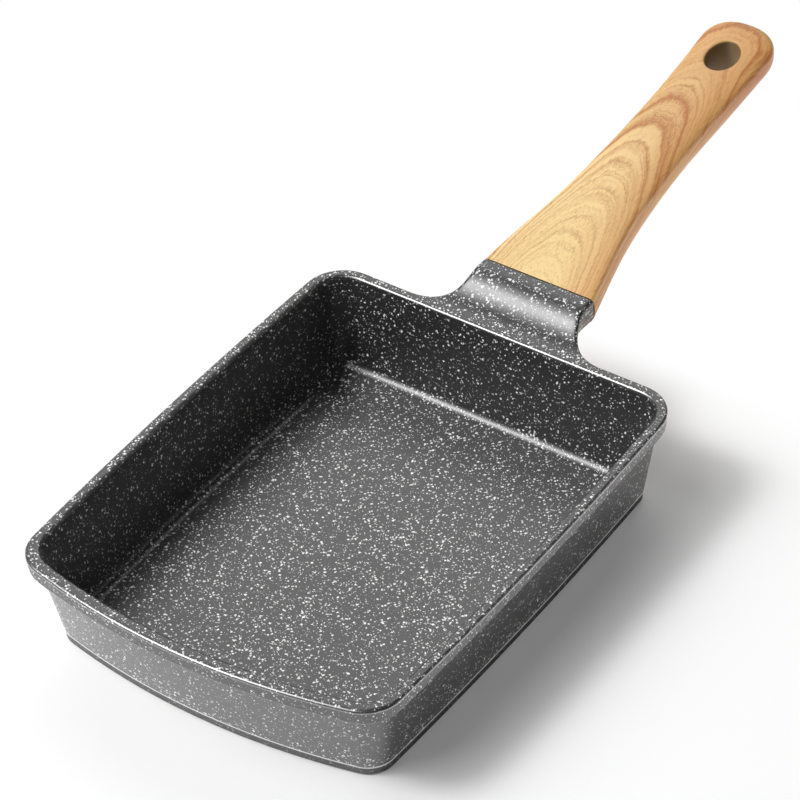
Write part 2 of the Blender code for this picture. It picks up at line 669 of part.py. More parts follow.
def main():
    """Build every piece and give it its finish."""
    clear_scene()
    parts = new_collection(COLLECTION)
    cutters = new_collection("cutters")
    screw_axis = bpy.data.objects.new("screw_axis", None)
    cutters.objects.link(screw_axis)
    screw_axis.matrix_world = tang_frame() @ Matrix.Translation((0.0, SCREW_SETBACK, 0.0))
    bpy.context.view_layer.update()
    body = build_pan_body(parts, cutters, screw_axis)
    plate = build_base_plate(parts, cutters)
    grip = build_grip(parts, cutters, screw_axis)
    screw = build_screw(parts, cutters, screw_axis)
    washer, spring = build_washers(parts, screw_axis)
    body.data.materials.append(new_material("stone_fleck_coating", (0.118, 0.116, 0.119), 0.42, 0.0))
    plate.data.materials.append(new_material("magnetic_stainless", (0.56, 0.55, 0.53), 0.34, 1.0))
    grip.data.materials.append(new_material("wood_look_phenolic", (0.72, 0.46, 0.23), 0.38, 0.0))
    screw.data.materials.append(new_material("zinc_screw_steel", (0.60, 0.61, 0.62), 0.30, 1.0))
    washer.data.materials.append(new_material("zinc_washer_steel", (0.56, 0.57, 0.58), 0.36, 1.0))
    spring.data.materials.append(new_material("spring_steel", (0.32, 0.32, 0.33), 0.40, 1.0))


main()
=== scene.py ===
"""Looks of a rectangular omelette pan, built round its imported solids.

Metres, +Z up. The grip runs along +Y and the bowed front edge faces -Y.
"""

import logging
import math
from collections.abc import Callable, Sequence
from dataclasses import dataclass
from enum import Enum

import bmesh
import bpy
from mathutils import Matrix, Vector


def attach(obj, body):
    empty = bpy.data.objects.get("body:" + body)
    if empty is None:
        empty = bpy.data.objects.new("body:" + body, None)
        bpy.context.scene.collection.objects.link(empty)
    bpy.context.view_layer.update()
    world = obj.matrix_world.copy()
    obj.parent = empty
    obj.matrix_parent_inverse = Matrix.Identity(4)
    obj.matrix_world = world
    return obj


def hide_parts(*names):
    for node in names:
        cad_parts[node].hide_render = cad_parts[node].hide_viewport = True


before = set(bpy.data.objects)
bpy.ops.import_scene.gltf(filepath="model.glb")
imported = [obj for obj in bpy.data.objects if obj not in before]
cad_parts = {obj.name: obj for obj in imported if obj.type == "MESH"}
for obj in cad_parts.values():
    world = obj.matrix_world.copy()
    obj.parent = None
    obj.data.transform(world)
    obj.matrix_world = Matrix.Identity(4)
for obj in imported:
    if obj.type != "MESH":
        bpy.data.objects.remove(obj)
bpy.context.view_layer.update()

Point2 = tuple[float, float]
Point3 = tuple[float, float, float]
Colour = tuple[float, float, float]
Ring = list[bmesh.types.BMVert]

WHITE: Colour = (1.0, 1.0, 1.0)
MERGE_DISTANCE = 0.0000005

log = logging.getLogger("omelette_pan")


def blend(start: float, end: float, share: float) -> float:
    """A value between two others."""
    return start + (end - start) * share


def heading(centre: Point2, point: Point2) -> float:
    """The plan angle from a centre to a point, in degrees."""
    return math.degrees(math.atan2(point[1] - centre[1], point[0] - centre[0]))


def circles_meet(first: Point2, first_radius: float, second: Point2, second_radius: float) -> Point2:
    """Where two plan circles cross, on the right-hand side of the way from the first to the second.

    Args:
        first: The first circle's centre.
        first_radius: Its radius.
        second: The second circle's centre.
        second_radius: Its radius.

    Returns:
        The crossing.
    """
    across = (second[0] - first[0], second[1] - first[1])
    apart = math.hypot(*across)
    along = (apart ** 2 + first_radius ** 2 - second_radius ** 2) / (2 * apart)
    off = math.sqrt(first_radius ** 2 - along ** 2)
    ahead = (across[0] / apart, across[1] / apart)
    return (first[0] + ahead[0] * along + ahead[1] * off, first[1] + ahead[1] * along - ahead[0] * off)


def clamp(value: float) -> float:
    """A value kept from 0 to 1."""
    return min(max(value, 0.0), 1.0)


def ease(share: float) -> float:
    """A smooth step from 0 to 1."""
    t = clamp(share)
    return t * t * (3 - 2 * t)


def hermite(t: float, start: float, start_slope: float, end: float, end_slope: float) -> float:
    """The value at t from 0 to 1 on a smooth curve between two ends with given slopes."""
    cubed, squared = t ** 3, t ** 2
    return ((2 * cubed - 3 * squared + 1) * start + (cubed - 2 * squared + t) * start_slope
            + (3 * squared - 2 * cubed) * end + (cubed - squared) * end_slope)


def read_row(values: Sequence[float], share: float) -> float:
    """Read evenly spaced values at a share of their length, joined smoothly.

    Args:
        values: The values, first to last.
        share: The place, from 0 at the first to 1 at the last.

    Returns:
        The value there.
    """
    place = clamp(share) * (len(values) - 1)
    i = min(int(place), len(values) - 2)
    before, after = values[max(i - 1, 0)], values[min(i + 2, len(values) - 1)]
    start, end = values[i], values[i + 1]
    start_slope = (end - before) / 2 if i > 0 else end - start
    end_slope = (after - start) / 2 if i + 2 < len(values) else end - start
    return hermite(place - i, start, start_slope, end, end_slope)


def arc(centre: Point2, radius: float, start: float, end: float, steps: int) -> list[Point2]:
    """Points along an arc, both ends included.

    Args:
        centre: The arc's centre.
        radius: Its radius.
        start: Its first angle, in degrees.
        end: Its last angle, in degrees.
        steps: How many pieces it is cut into.

    Returns:
        The points.
    """
    angles = [math.radians(blend(start, end, i / steps)) for i in range(steps + 1)]
    return [(centre[0] + radius * math.cos(a), centre[1] + radius * math.sin(a)) for a in angles]


# Shader expressions

class Value:
    """A socket in a node tree, written in Python expressions."""

    def __init__(self, tree: "NodeTree", socket: bpy.types.NodeSocket) -> None:
        """Wrap an output socket of a tree."""
        self.tree = tree
        self.socket = socket

    def _math(self, operation: str, *operands: "Value | float") -> "Value":
        """Add one Math node."""
        sockets = {i: operand for i, operand in enumerate(operands)}
        return self.tree.node("ShaderNodeMath", {"operation": operation}, sockets)

    def __add__(self, other: "Value | float") -> "Value":
        """Sum."""
        return self._math("ADD", self, other)

    def __radd__(self, other: float) -> "Value":
        """Sum with a number first."""
        return self._math("ADD", other, self)

    def __sub__(self, other: "Value | float") -> "Value":
        """Difference."""
        return self._math("SUBTRACT", self, other)

    def __rsub__(self, other: float) -> "Value":
        """Difference from a number."""
        return self._math("SUBTRACT", other, self)

    def __mul__(self, other: "Value | float") -> "Value":
        """Product."""
        return self._math("MULTIPLY", self, other)

    def __rmul__(self, other: float) -> "Value":
        """Product with a number first."""
        return self._math("MULTIPLY", other, self)

    def __truediv__(self, other: "Value | float") -> "Value":
        """Quotient."""
        return self._math("DIVIDE", self, other)

    def __pow__(self, other: float) -> "Value":
        """Power."""
        return self._math("POWER", self, other)

    def __mod__(self, other: float) -> "Value":
        """Remainder."""
        return self._math("MODULO", self, other)

    def __abs__(self) -> "Value":
        """Size without sign."""
        return self._math("ABSOLUTE", self)

    def root(self) -> "Value":
        """Square root."""
        return self._math("SQRT", self)

    def rounded(self) -> "Value":
        """Nearest whole number."""
        return self._math("ROUND", self)

    def above(self, limit: "Value | float") -> "Value":
        """1 where the value is over a limit, otherwise 0."""
        return self._math("GREATER_THAN", self, limit)

    def larger(self, other: "Value | float") -> "Value":
        """The larger of two values."""
        return self._math("MAXIMUM", self, other)

    def step(self, low: "Value | float", high: "Value | float") -> "Value":
        """A smooth step from 0 at low to 1 at high."""
        return self.tree.node("ShaderNodeMapRange", {"interpolation_type": "SMOOTHSTEP"},
                              {"Value": self, "From Min": low, "From Max": high})

    def between(self, low: float, full: float, falling: float, high: float) -> "Value":
        """1 from full to falling, easing to 0 at low and at high."""
        return self.step(low, full) * (1.0 - self.step(falling, high))


class NodeTree:
    """A node tree, filled by expressions."""

    def __init__(self, tree: bpy.types.NodeTree) -> None:
        """Take an empty tree."""
        self.tree = tree

    def node(self, kind: str, settings: dict[str, object], sockets: dict[object, object],
             output: int | str = 0) -> Value:
        """Add one node.

        Args:
            kind: The node's type.
            settings: Its settings, set before its sockets; "stops" fills a colour ramp.
            sockets: Socket name or number to a value or a link.
            output: The output that is wanted.

        Returns:
            That output.
        """
        made = self.tree.nodes.new(kind)
        for key, setting in settings.items():
            if key == "stops":
                self._fill_ramp(made.color_ramp, setting)
            else:
                setattr(made, key, setting)
        for key, given in sockets.items():
            socket = made.inputs[key]
            if isinstance(given, Value):
                self.tree.links.new(given.socket, socket)
            elif isinstance(given, tuple) and len(given) == 3 and socket.type == "RGBA":
                socket.default_value = (*given, 1.0)
            else:
                socket.default_value = given
        return Value(self, made.outputs[output])

    @staticmethod
    def _fill_ramp(ramp: bpy.types.ColorRamp, stops: Sequence[tuple[float, Colour]]) -> None:
        """Give a colour ramp its stops.

        Args:
            ramp: The ramp.
            stops: Each stop's place and colour, in order.
        """
        while len(ramp.elements) < len(stops):
            ramp.elements.new(1.0)
        for element, (place, colour) in zip(ramp.elements, stops):
            element.position = place
            element.color = (*colour, 1.0)

    def end(self, kind: str, socket: str, result: Value) -> None:
        """Send a result to a new output node."""
        self.tree.links.new(result.socket, self.tree.nodes.new(kind).inputs[socket])

    def axis(self, vector: Value, name: str) -> Value:
        """One coordinate of a vector."""
        return self.node("ShaderNodeSeparateXYZ", {}, {0: vector}, name)

    def join(self, x: Value | float, y: Value | float, z: Value | float) -> Value:
        """A vector from three values."""
        return self.node("ShaderNodeCombineXYZ", {}, {0: x, 1: y, 2: z})


class ShaderTree(NodeTree):
    """A material's node tree."""

    def __init__(self, name: str) -> None:
        """Start a material with an empty tree."""
        self.material = bpy.data.materials.new(name)
        self.material.use_nodes = True
        super().__init__(self.material.node_tree)
        self.tree.nodes.clear()

    def place(self) -> Value:
        """Object coordinates."""
        return self.node("ShaderNodeTexCoord", {}, {}, "Object")

    def radius(self, place: Value) -> Value:
        """Distance from the upright axis."""
        x, y = self.axis(place, "X"), self.axis(place, "Y")
        return (x * x + y * y).root()

    def scaled(self, vector: Value, scale: Point3) -> Value:
        """A vector times another."""
        return self.node("ShaderNodeVectorMath", {"operation": "MULTIPLY"}, {0: vector, 1: scale})

    def moved(self, vector: Value, shift: Value) -> Value:
        """The sum of two vectors."""
        return self.node("ShaderNodeVectorMath", {"operation": "ADD"}, {0: vector, 1: shift})

    def noise(self, vector: Value, scale: float, detail: float = 2.0, roughness: float = 0.5,
              output: str = "Fac") -> Value:
        """A noise texture.

        Args:
            vector: Where it is read.
            scale: Its scale, in waves per unit.
            detail: Its octaves.
            roughness: The strength of the finer octaves.
            output: "Fac" or "Color".

        Returns:
            The noise.
        """
        sockets = {"Vector": vector, "Scale": scale, "Detail": detail, "Roughness": roughness}
        return self.node("ShaderNodeTexNoise", {}, sockets, output)

    def jitter(self, vector: Value, scale: float, reach: float, detail: float = 1.0) -> Value:
        """A vector moved about by noise.

        Args:
            vector: The vector.
            scale: The noise's scale, in waves per unit.
            reach: Twice the furthest that it is moved along an axis.
            detail: The noise's octaves.

        Returns:
            The moved vector.
        """
        cloud = self.noise(vector, scale, detail, 0.5, "Color")
        centred = self.node("ShaderNodeVectorMath", {"operation": "SUBTRACT"}, {0: cloud, 1: (0.5, 0.5, 0.5)})
        return self.moved(vector, self.scaled(centred, (reach, reach, reach)))

    def mix(self, share: Value | float, first: Value | Colour, second: Value | Colour) -> Value:
        """A colour between two others."""
        return self.node("ShaderNodeMix", {"data_type": "RGBA"}, {0: share, 6: first, 7: second}, 2)

    def shades(self, share: Value, colour: Colour, low: float, high: float) -> Value:
        """A colour between a darker and a lighter shade of it."""
        return self.mix(share, tuple(low * c for c in colour), tuple(min(high * c, 1.0) for c in colour))

    def ramp(self, share: Value, stops: Sequence[tuple[float, Colour]]) -> Value:
        """A colour ramp."""
        return self.node("ShaderNodeValToRGB", {"stops": stops}, {0: share}, "Color")

    def bump(self, height: Value, depth: float) -> Value:
        """A normal from a height that runs from 0 to 1."""
        sockets = {"Height": height, "Strength": 1.0, "Distance": depth}
        return self.node("ShaderNodeBump", {}, sockets, "Normal")

    def finished(self, shader: Value) -> bpy.types.Material:
        """The material, with a shader sent to its output."""
        self.end("ShaderNodeOutputMaterial", "Surface", shader)
        return self.material

    def surface(self, **sockets: object) -> bpy.types.Material:
        """The material with a Principled shader, its sockets named with underscores for spaces."""
        named = {key.replace("_", " "): given for key, given in sockets.items()}
        return self.finished(self.node("ShaderNodeBsdfPrincipled", {}, named))


class GeometryTree(NodeTree):
    """A geometry node tree with named numbers as its inputs."""

    def __init__(self, name: str, numbers: dict[str, float]) -> None:
        """Start the tree with its inputs.

        Args:
            name: The tree's name.
            numbers: Each number by its input's name.
        """
        super().__init__(bpy.data.node_groups.new(name, "GeometryNodeTree"))
        self.numbers = numbers
        for way in ("INPUT", "OUTPUT"):
            self.tree.interface.new_socket("Geometry", in_out=way, socket_type="NodeSocketGeometry")
        for each in numbers:
            self.tree.interface.new_socket(each, in_out="INPUT", socket_type="NodeSocketFloat")
        start = self.tree.nodes.new("NodeGroupInput")
        self.given = {each: Value(self, start.outputs[each]) for each in ["Geometry", *numbers]}

    def copies(self, points: Value, shape: Value) -> Value:
        """A shape on every point, as real geometry."""
        placed = self.node("GeometryNodeInstanceOnPoints", {}, {"Points": points, "Instance": shape})
        return self.node("GeometryNodeRealizeInstances", {}, {"Geometry": placed})

    def joined(self, *parts: Value) -> Value:
        """Several geometries as one.

        Args:
            parts: The geometries.

        Returns:
            All of them.
        """
        made = self.tree.nodes.new("GeometryNodeJoinGeometry")
        for part in parts:
            self.tree.links.new(part.socket, made.inputs[0])
        return Value(self, made.outputs[0])

    def run(self, start: bpy.types.Mesh, result: Value, material: bpy.types.Material) -> bpy.types.Mesh:
        """End the tree in Realize Instances, Set Material and its output, and run it on a mesh.

        Args:
            start: The mesh that it starts from.
            result: The geometry that it makes.
            material: The geometry's material.

        Returns:
            The result as a plain mesh.
        """
        real = self.node("GeometryNodeRealizeInstances", {}, {"Geometry": result})
        dressed = self.node("GeometryNodeSetMaterial", {}, {"Geometry": real, "Material": material})
        self.end("NodeGroupOutput", "Geometry", dressed)
        made = add_object("geometry_nodes", start)
        modifier = made.modifiers.new("nodes", "NODES")
        modifier.node_group = self.tree
        for item in self.tree.interface.items_tree:
            if item.in_out == "INPUT" and item.name in self.numbers:
                modifier[item.identifier] = self.numbers[item.name]
        return baked(made)


# Finishes

@dataclass(frozen=True)
class StoneFleckCoating:
    """Satin dark non-stick coating with off-white flecks.

    It is glossier along the rim's edges. A pale line just above the foot is a painted highlight, and the foot
    below it is painted darker, with fewer flecks and a rougher finish, as painted shade. The flecks are
    somewhat fewer and smaller on the walls, fewest on the right side, and densest along the rim's edge and on
    the neck. Lengths are metres, and waves are counted per metre.
    """

    name: str = "stone_fleck_coating"
    base: Colour = (0.020, 0.0195, 0.020)
    grain_tint: Colour = (0.035, 0.035, 0.035)
    grain_share: float = 0.35
    # The dark colour of the foot's painted shade.
    painted_shade_colour: Colour = (0.008, 0.008, 0.008)
    fleck: Colour = (0.97, 0.97, 0.96)
    ior: float = 1.75
    roughness: float = 0.32
    fleck_roughness: float = 0.50
    rim_top: float = 0.0368
    foot_top: float = 0.0030
    cell: float = 0.00110
    largest: float = 0.00054
    cover: float = 0.83
    fine_cell: float = 0.00080
    fine_largest: float = 0.00034
    fine_cover: float = 0.64
    fine_strength: float = 0.85
    least_size: float = 0.42
    size_spread: float = 0.94
    soft_edge: float = 0.88
    dimming: float = 0.32
    bright_from: float = 0.55
    turn: Point3 = (0.6, 0.4, 0.9)
    neck_fade: Point2 = (0.088, 0.092)
    rim_fade: float = 0.0006
    wall_fade: Point2 = (0.006, 0.012)
    side_fade: Point2 = (0.060, 0.066)
    wall_shrink: float = 0.18
    wall_loss: float = 0.03
    side_loss: float = 0.22
    rim_gain: float = 0.12
    # Painted shade on the foot: where it fades in, how strongly its dark colour is mixed in, and fewer flecks
    # and more roughness there.
    foot_fade: float = 0.0004
    painted_shade_share: float = 0.60
    foot_cover: float = 0.8
    foot_roughness: float = 0.2
    # A painted highlight: a pale line painted just above the foot.
    foot_highlight_line: tuple[float, ...] = (0.0, 0.0001, 0.0006, 0.0008)
    foot_highlight_strength: float = 0.90
    bead_line: tuple[float, ...] = (0.0014, 0.0009, 0.00018, 0.00002)
    bead_coat: float = 0.85
    coat_ior: float = 2.2
    coat_roughness: float = 0.30
    fine_ragged: Point3 = (3000.0, 0.0007, 2.0)
    wide_ragged: Point2 = (700.0, 0.0009)
    fine_shift: Point3 = (0.013, 0.007, 0.019)
    cloud_waves: float = 55.0
    grain_waves: float = 2600.0
    cloud_shades: Point2 = (0.90, 1.10)
    cloud_roughness: float = 0.05
    grain_relief: float = 0.5
    fleck_relief: float = 0.35
    relief: float = 0.00001

    def _flecks(self, tree: ShaderTree, place: Value, cell: float, largest: Value, share: Value) -> Value:
        """Scattered irregular flecks, one in some of the cells of a Voronoi texture.

        Args:
            tree: The material's tree.
            place: Where the texture is read.
            cell: The cells' size.
            largest: The largest fleck's radius.
            share: The share of the cells that hold a fleck.

        Returns:
            The flecks' strength, from 0 to 1.
        """
        sockets = {"Vector": place, "Scale": 1 / cell, "Randomness": 1.0}
        settings = {"feature": "F1", "distance": "MANHATTAN"}
        voronoi = tree.node("ShaderNodeTexVoronoi", settings, sockets, "Distance")
        seed = Value(tree, voronoi.socket.node.outputs["Color"])
        pick, size, tone = (tree.axis(seed, name) for name in "XYZ")
        spread = self.least_size + self.size_spread * size * size
        radius = spread * (largest / cell) * (1.0 - pick.above(share))
        inside = 1.0 - voronoi.step(radius * self.soft_edge, radius + 0.001)
        return inside * (1.0 - self.dimming + self.dimming * tone.step(0.0, self.bright_from))

    def material(self) -> bpy.types.Material:
        """Build the material."""
        tree = ShaderTree(self.name)
        place = tree.place()
        x, y, level = (tree.axis(place, name) for name in "XYZ")
        turned = tree.node("ShaderNodeMapping", {}, {"Vector": place, "Rotation": self.turn})
        ragged = tree.jitter(tree.jitter(turned, *self.fine_ragged), *self.wide_ragged)
        rich = y.step(*self.neck_fade).larger(level.step(self.rim_top - self.rim_fade, self.rim_top))
        raised = level.step(*self.wall_fade) * (1.0 - rich)
        size = 1.0 - self.wall_shrink * raised
        share = 1.0 - self.wall_loss * raised + self.rim_gain * rich
        share = share * (1.0 - self.side_loss * x.step(*self.side_fade) * raised)
        large = self._flecks(tree, ragged, self.cell, self.largest * size, self.cover * share)
        shifted = tree.moved(ragged, tree.join(*self.fine_shift))
        fine = self._flecks(tree, shifted, self.fine_cell, self.fine_largest * size, self.fine_cover * share)
        # Painted shade: the foot under the wall is painted darker, with fewer flecks and a rougher finish.
        foot = 1.0 - level.step(self.foot_top - self.foot_fade, self.foot_top)
        flecks = large.larger(fine * self.fine_strength) * (1.0 - self.foot_cover * foot)
        cloud = tree.noise(place, self.cloud_waves, 3.0)
        grain = tree.noise(place, self.grain_waves, 2.0)
        ground = tree.shades(cloud, self.base, *self.cloud_shades)
        ground = tree.mix(grain * self.grain_share, ground, self.grain_tint)
        ground = tree.mix(foot * self.painted_shade_share, ground, self.painted_shade_colour)
        # Painted highlight: a pale line just above the foot, mixed towards the fleck colour.
        foot_highlight = level.between(*(self.foot_top + z for z in self.foot_highlight_line))
        bead = level.between(*(self.rim_top - z for z in self.bead_line))
        roughness = self.roughness + self.cloud_roughness * cloud
        roughness = roughness + flecks * (self.fleck_roughness - self.roughness)
        return tree.surface(
            Base_Color=tree.mix(flecks.larger(foot_highlight * self.foot_highlight_strength), ground, self.fleck), IOR=self.ior,
            Roughness=roughness + foot * self.foot_roughness, Coat_Weight=bead * self.bead_coat,
            Coat_IOR=self.coat_ior, Coat_Roughness=self.coat_roughness,
            Normal=tree.bump(self.grain_relief * grain + self.fleck_relief * flecks, self.relief))


@dataclass(frozen=True)
class WoodFilm:
    """Printed wood-grain film: nested arches that point to the tip, with fine streaks, under a satin lacquer.

    The arches run along the grip's top line, sway with the grain, bend down each side by their own curve and
    straighten towards the tip. The bands' rows are (place along the arches, depth of the brown). Lengths are
    metres. Waves are counted per metre, across and along the grip, and the streaks' over the arches, round the
    grip and along it.
    """

    name: str = "wood_film"
    pale: Colour = (0.92, 0.68, 0.32)
    tan: Colour = (0.68, 0.355, 0.128)
    brown: Colour = (0.48, 0.175, 0.050)
    pore: Colour = (0.30, 0.11, 0.03)
    left_bend: float = 798.0
    right_bend: float = 626.0
    bend_power: float = 2.35
    straightening: float = 0.68
    straight_fade: Point2 = (0.108, 0.128)
    apex_shift: float = -0.0027
    apex_middle: float = 0.088
    apex_fade: Point2 = (0.014, 0.055)
    sway: float = 0.0022
    hair: float = 0.0048
    drift: float = 0.0055
    faint_depth: float = 1.5
    streak_depth: float = 1.1
    fibre_depth: float = 0.7
    # Painted shade on the grip's right flank, browner towards the tip.
    flank_shade: float = 0.60
    flank_shade_edge: Point2 = (0.0110, 0.0135)
    flank_shade_along: Point2 = (0.060, 0.130)
    # The tan grows along the grip as the film's own tone; on the right side it comes on sooner, as painted
    # shade.
    warm_fade: Point2 = (0.02, 0.15)
    warm_side_shade: float = 6.0
    warm_share: float = 0.90
    sway_waves: Point2 = (60.0, 14.0)
    hair_waves: tuple[float, ...] = (1500.0, 60.0, 3.0, 0.65)
    drift_waves: Point2 = (170.0, 34.0)
    faint_waves: float = 560.0
    streak_waves: Point3 = (1900.0, 90.0, 12.0)
    fibre_waves: tuple[float, ...] = (2600.0, 70.0, 2.0, 0.55)
    pore_fade: Point2 = (0.62, 0.74)
    pore_share: float = 0.30
    brown_fade: Point2 = (0.0, 0.95)
    roughness: float = 0.38
    faint_roughness: float = 0.10
    ior: float = 1.48
    relief: float = 0.000012
    reach: float = 0.2037
    lower_bands: tuple[Point2, ...] = (
        (0.0, 0.10), (0.008, 0.08), (0.012, 0.22), (0.0145, 0.08), (0.0165, 0.30), (0.019, 0.10),
        (0.022, 0.38), (0.0245, 0.12), (0.028, 0.44), (0.031, 0.12), (0.035, 0.10), (0.0375, 0.30),
        (0.040, 0.14), (0.0435, 0.44), (0.046, 0.18), (0.0485, 0.12), (0.051, 0.50), (0.0535, 0.16),
        (0.0575, 0.34), (0.060, 0.12), (0.0625, 0.26), (0.0655, 0.66), (0.068, 0.22), (0.071, 0.10))
    upper_bands: tuple[Point2, ...] = (
        (0.071, 0.10), (0.0735, 0.08), (0.0765, 0.64), (0.079, 0.50), (0.0815, 0.66), (0.0845, 0.40),
        (0.087, 0.28), (0.0895, 0.48), (0.0915, 0.88), (0.0935, 0.38), (0.0955, 0.22), (0.0975, 0.42),
        (0.0995, 0.20), (0.102, 0.14), (0.1035, 0.38), (0.1055, 0.16), (0.108, 0.34), (0.110, 0.14),
        (0.113, 0.38), (0.1155, 0.18), (0.118, 0.50), (0.1205, 0.26), (0.123, 0.10), (0.127, 0.14),
        (0.1295, 0.30), (0.1315, 0.80), (0.1335, 0.36), (0.137, 0.16), (0.150, 0.36), (0.165, 0.16),
        (0.180, 0.40), (0.2037, 0.20))

    def material(self) -> bpy.types.Material:
        """Build the material."""
        tree = ShaderTree(self.name)
        film = tree.node("ShaderNodeUVMap", {"uv_map": "film"}, {})
        along, around = tree.axis(film, "X"), tree.axis(film, "Y")
        place = tree.place()

        def grain(across: float, length: float, detail: float = 2.0, roughness: float = 0.5) -> Value:
            """Noise drawn out along the grip, in waves per metre across and along."""
            return tree.noise(tree.scaled(place, (across, length, across)), 1.0, detail, roughness)

        sway = grain(*self.sway_waves) - 0.5
        apex = self.apex_shift * (1.0 - abs(along - self.apex_middle).step(*self.apex_fade))
        across = around - apex + sway * self.sway
        bend = self.left_bend + across.above(0.0) * (self.right_bend - self.left_bend)
        bend = bend * (1.0 - self.straightening * along.step(*self.straight_fade))
        hair, drift = grain(*self.hair_waves) - 0.5, grain(*self.drift_waves) - 0.5
        level = along + abs(across) ** self.bend_power * bend + hair * self.hair + drift * self.drift
        lower, upper = (tree.axis(tree.ramp(level / self.reach, self._stops(rows)), "X")
                        for rows in (self.lower_bands, self.upper_bands))
        bands = lower + level.above(self.lower_bands[-1][0]) * (upper - lower)
        faint = tree.noise(tree.join(level * self.faint_waves, sway * 2.0, 0.0), 1.0, 3.0, 0.65)
        streaks = (value * waves for value, waves in zip((level, around, along), self.streak_waves))
        streak = tree.noise(tree.join(*streaks), 1.0, 3.0, 0.6)
        fibre = grain(*self.fibre_waves)
        # Painted shade: the right flank, past the top's edge and towards the tip, is painted browner.
        flank_shade = around.step(*self.flank_shade_edge) * along.step(*self.flank_shade_along)
        deep = bands + self.flank_shade * flank_shade + self.faint_depth * (faint - 0.5)
        deep = deep + self.streak_depth * (streak - 0.5) + self.fibre_depth * (fibre - 0.5)
        # Film tone along the grip, plus painted shade that warms the right side sooner.
        warm = (along + self.warm_side_shade * around.larger(0.0)).step(*self.warm_fade)
        ground = tree.mix(self.warm_share * warm, self.pale, self.tan)
        dark = fibre.step(*self.pore_fade)
        colour = tree.mix(deep.step(*self.brown_fade), ground, self.brown)
        return tree.surface(Base_Color=tree.mix(dark * self.pore_share, colour, self.pore), IOR=self.ior,
                            Roughness=self.roughness + self.faint_roughness * faint,
                            Normal=tree.bump(1.0 - dark, self.relief))

    def _stops(self, rows: Sequence[Point2]) -> list[tuple[float, Colour]]:
        """Colour stops from rows of (place along the arches, depth of the brown)."""
        return [(along / self.reach, (deep, deep, deep)) for along, deep in rows]


@dataclass(frozen=True)
class MouldedCore:
    """The grip's plain moulding compound, where the film ends."""

    name: str = "moulded_core"
    colour: Colour = (0.27, 0.18, 0.075)
    shades: Point2 = (0.88, 1.1)
    cloud_waves: float = 240.0
    grain_waves: float = 2400.0
    roughness: float = 0.46
    grain_roughness: float = 0.12
    relief: float = 0.00002

    def material(self) -> bpy.types.Material:
        """Build the material."""
        tree = ShaderTree(self.name)
        place = tree.place()
        cloud = tree.noise(place, self.cloud_waves, 3.0)
        grain = tree.noise(place, self.grain_waves, 2.0)
        return tree.surface(Base_Color=tree.shades(cloud, self.colour, *self.shades),
                            Roughness=self.roughness + self.grain_roughness * grain,
                            Normal=tree.bump(grain, self.relief))


class Lay(Enum):
    """How a metal's fine lines run."""

    TURNED = "rings round the middle"
    ROLLED = "straight lines"


@dataclass(frozen=True)
class BareMetal:
    """Metal with fine machining or rolling lines."""

    name: str
    colour: Colour
    roughness: float
    lay: Lay
    pitch: float = 0.00025
    length_waves: float = 6.0
    cloud_waves: float = 70.0
    shades: Point2 = (0.84, 1.1)
    line_share: float = 0.5
    line_roughness: float = 0.10
    cloud_roughness: float = 0.08
    relief: float = 0.000006

    def material(self) -> bpy.types.Material:
        """Build the material."""
        tree = ShaderTree(self.name)
        place = tree.place()
        if self.lay is Lay.TURNED:
            lines = tree.noise(tree.join(tree.radius(place), 0.0, 0.0), 1 / self.pitch, 2.0, 0.6)
        else:
            drawn = tree.scaled(place, (1 / self.pitch, self.length_waves, 1 / self.pitch))
            lines = tree.noise(drawn, 1.0, 2.0, 0.6)
        cloud = tree.noise(place, self.cloud_waves, 3.0)
        share = (1 - self.line_share) * cloud + self.line_share * lines
        roughness = self.roughness + self.line_roughness * (lines - 0.5)
        roughness = roughness + self.cloud_roughness * (cloud - 0.5)
        return tree.surface(Base_Color=tree.shades(share, self.colour, *self.shades), Metallic=1.0,
                            Roughness=roughness, Normal=tree.bump(lines, self.relief))


# Mesh helpers

class MeshMaker:
    """Collects rings of points and faces for one piece."""

    def __init__(self) -> None:
        """Start empty."""
        self.shape = bmesh.new()

    def ring(self, points: Sequence[Sequence[float]]) -> Ring:
        """Add a row of points."""
        return [self.shape.verts.new(point) for point in points]

    def skin(self, low: Ring, high: Ring, slot: int = 0, skip: Callable[[int], bool] | None = None) -> None:
        """Join two rings of equally many points with four-sided faces.

        Args:
            low: The first ring.
            high: The second ring.
            slot: The faces' material slot.
            skip: Tells which steps get no face.
        """
        for i in range(len(low)):
            j = (i + 1) % len(low)
            unique = list(dict.fromkeys([low[i], low[j], high[j], high[i]]))
            if len(unique) > 2 and not (skip and skip(i)):
                self.shape.faces.new(unique).material_index = slot

    def sleeve(self, rings: Sequence[Ring], slot: int = 0) -> None:
        """Join each ring to the next."""
        for low, high in zip(rings, rings[1:]):
            self.skin(low, high, slot)

    def cap(self, row: Ring, slot: int = 0) -> None:
        """Close a row with one face."""
        self.shape.faces.new(row).material_index = slot

    def finish(self, name: str) -> bpy.types.Mesh:
        """Merge doubles, turn the faces outwards and make the mesh.

        Args:
            name: The mesh's name.

        Returns:
            The mesh.
        """
        bmesh.ops.remove_doubles(self.shape, verts=self.shape.verts, dist=MERGE_DISTANCE)
        bmesh.ops.recalc_face_normals(self.shape, faces=self.shape.faces)
        mesh = bpy.data.meshes.new(name)
        self.shape.to_mesh(mesh)
        self.shape.free()
        return mesh

    def bar(self, name: str, ends: Sequence[Sequence[Vector]]) -> bpy.types.Mesh:
        """Make a straight bar between two rings of points.

        Args:
            name: The mesh's name.
            ends: The points round both ends.

        Returns:
            The mesh.
        """
        rings = [self.ring(points) for points in ends]
        self.sleeve(rings)
        for ring in rings:
            self.cap(ring)
        return self.finish(name)


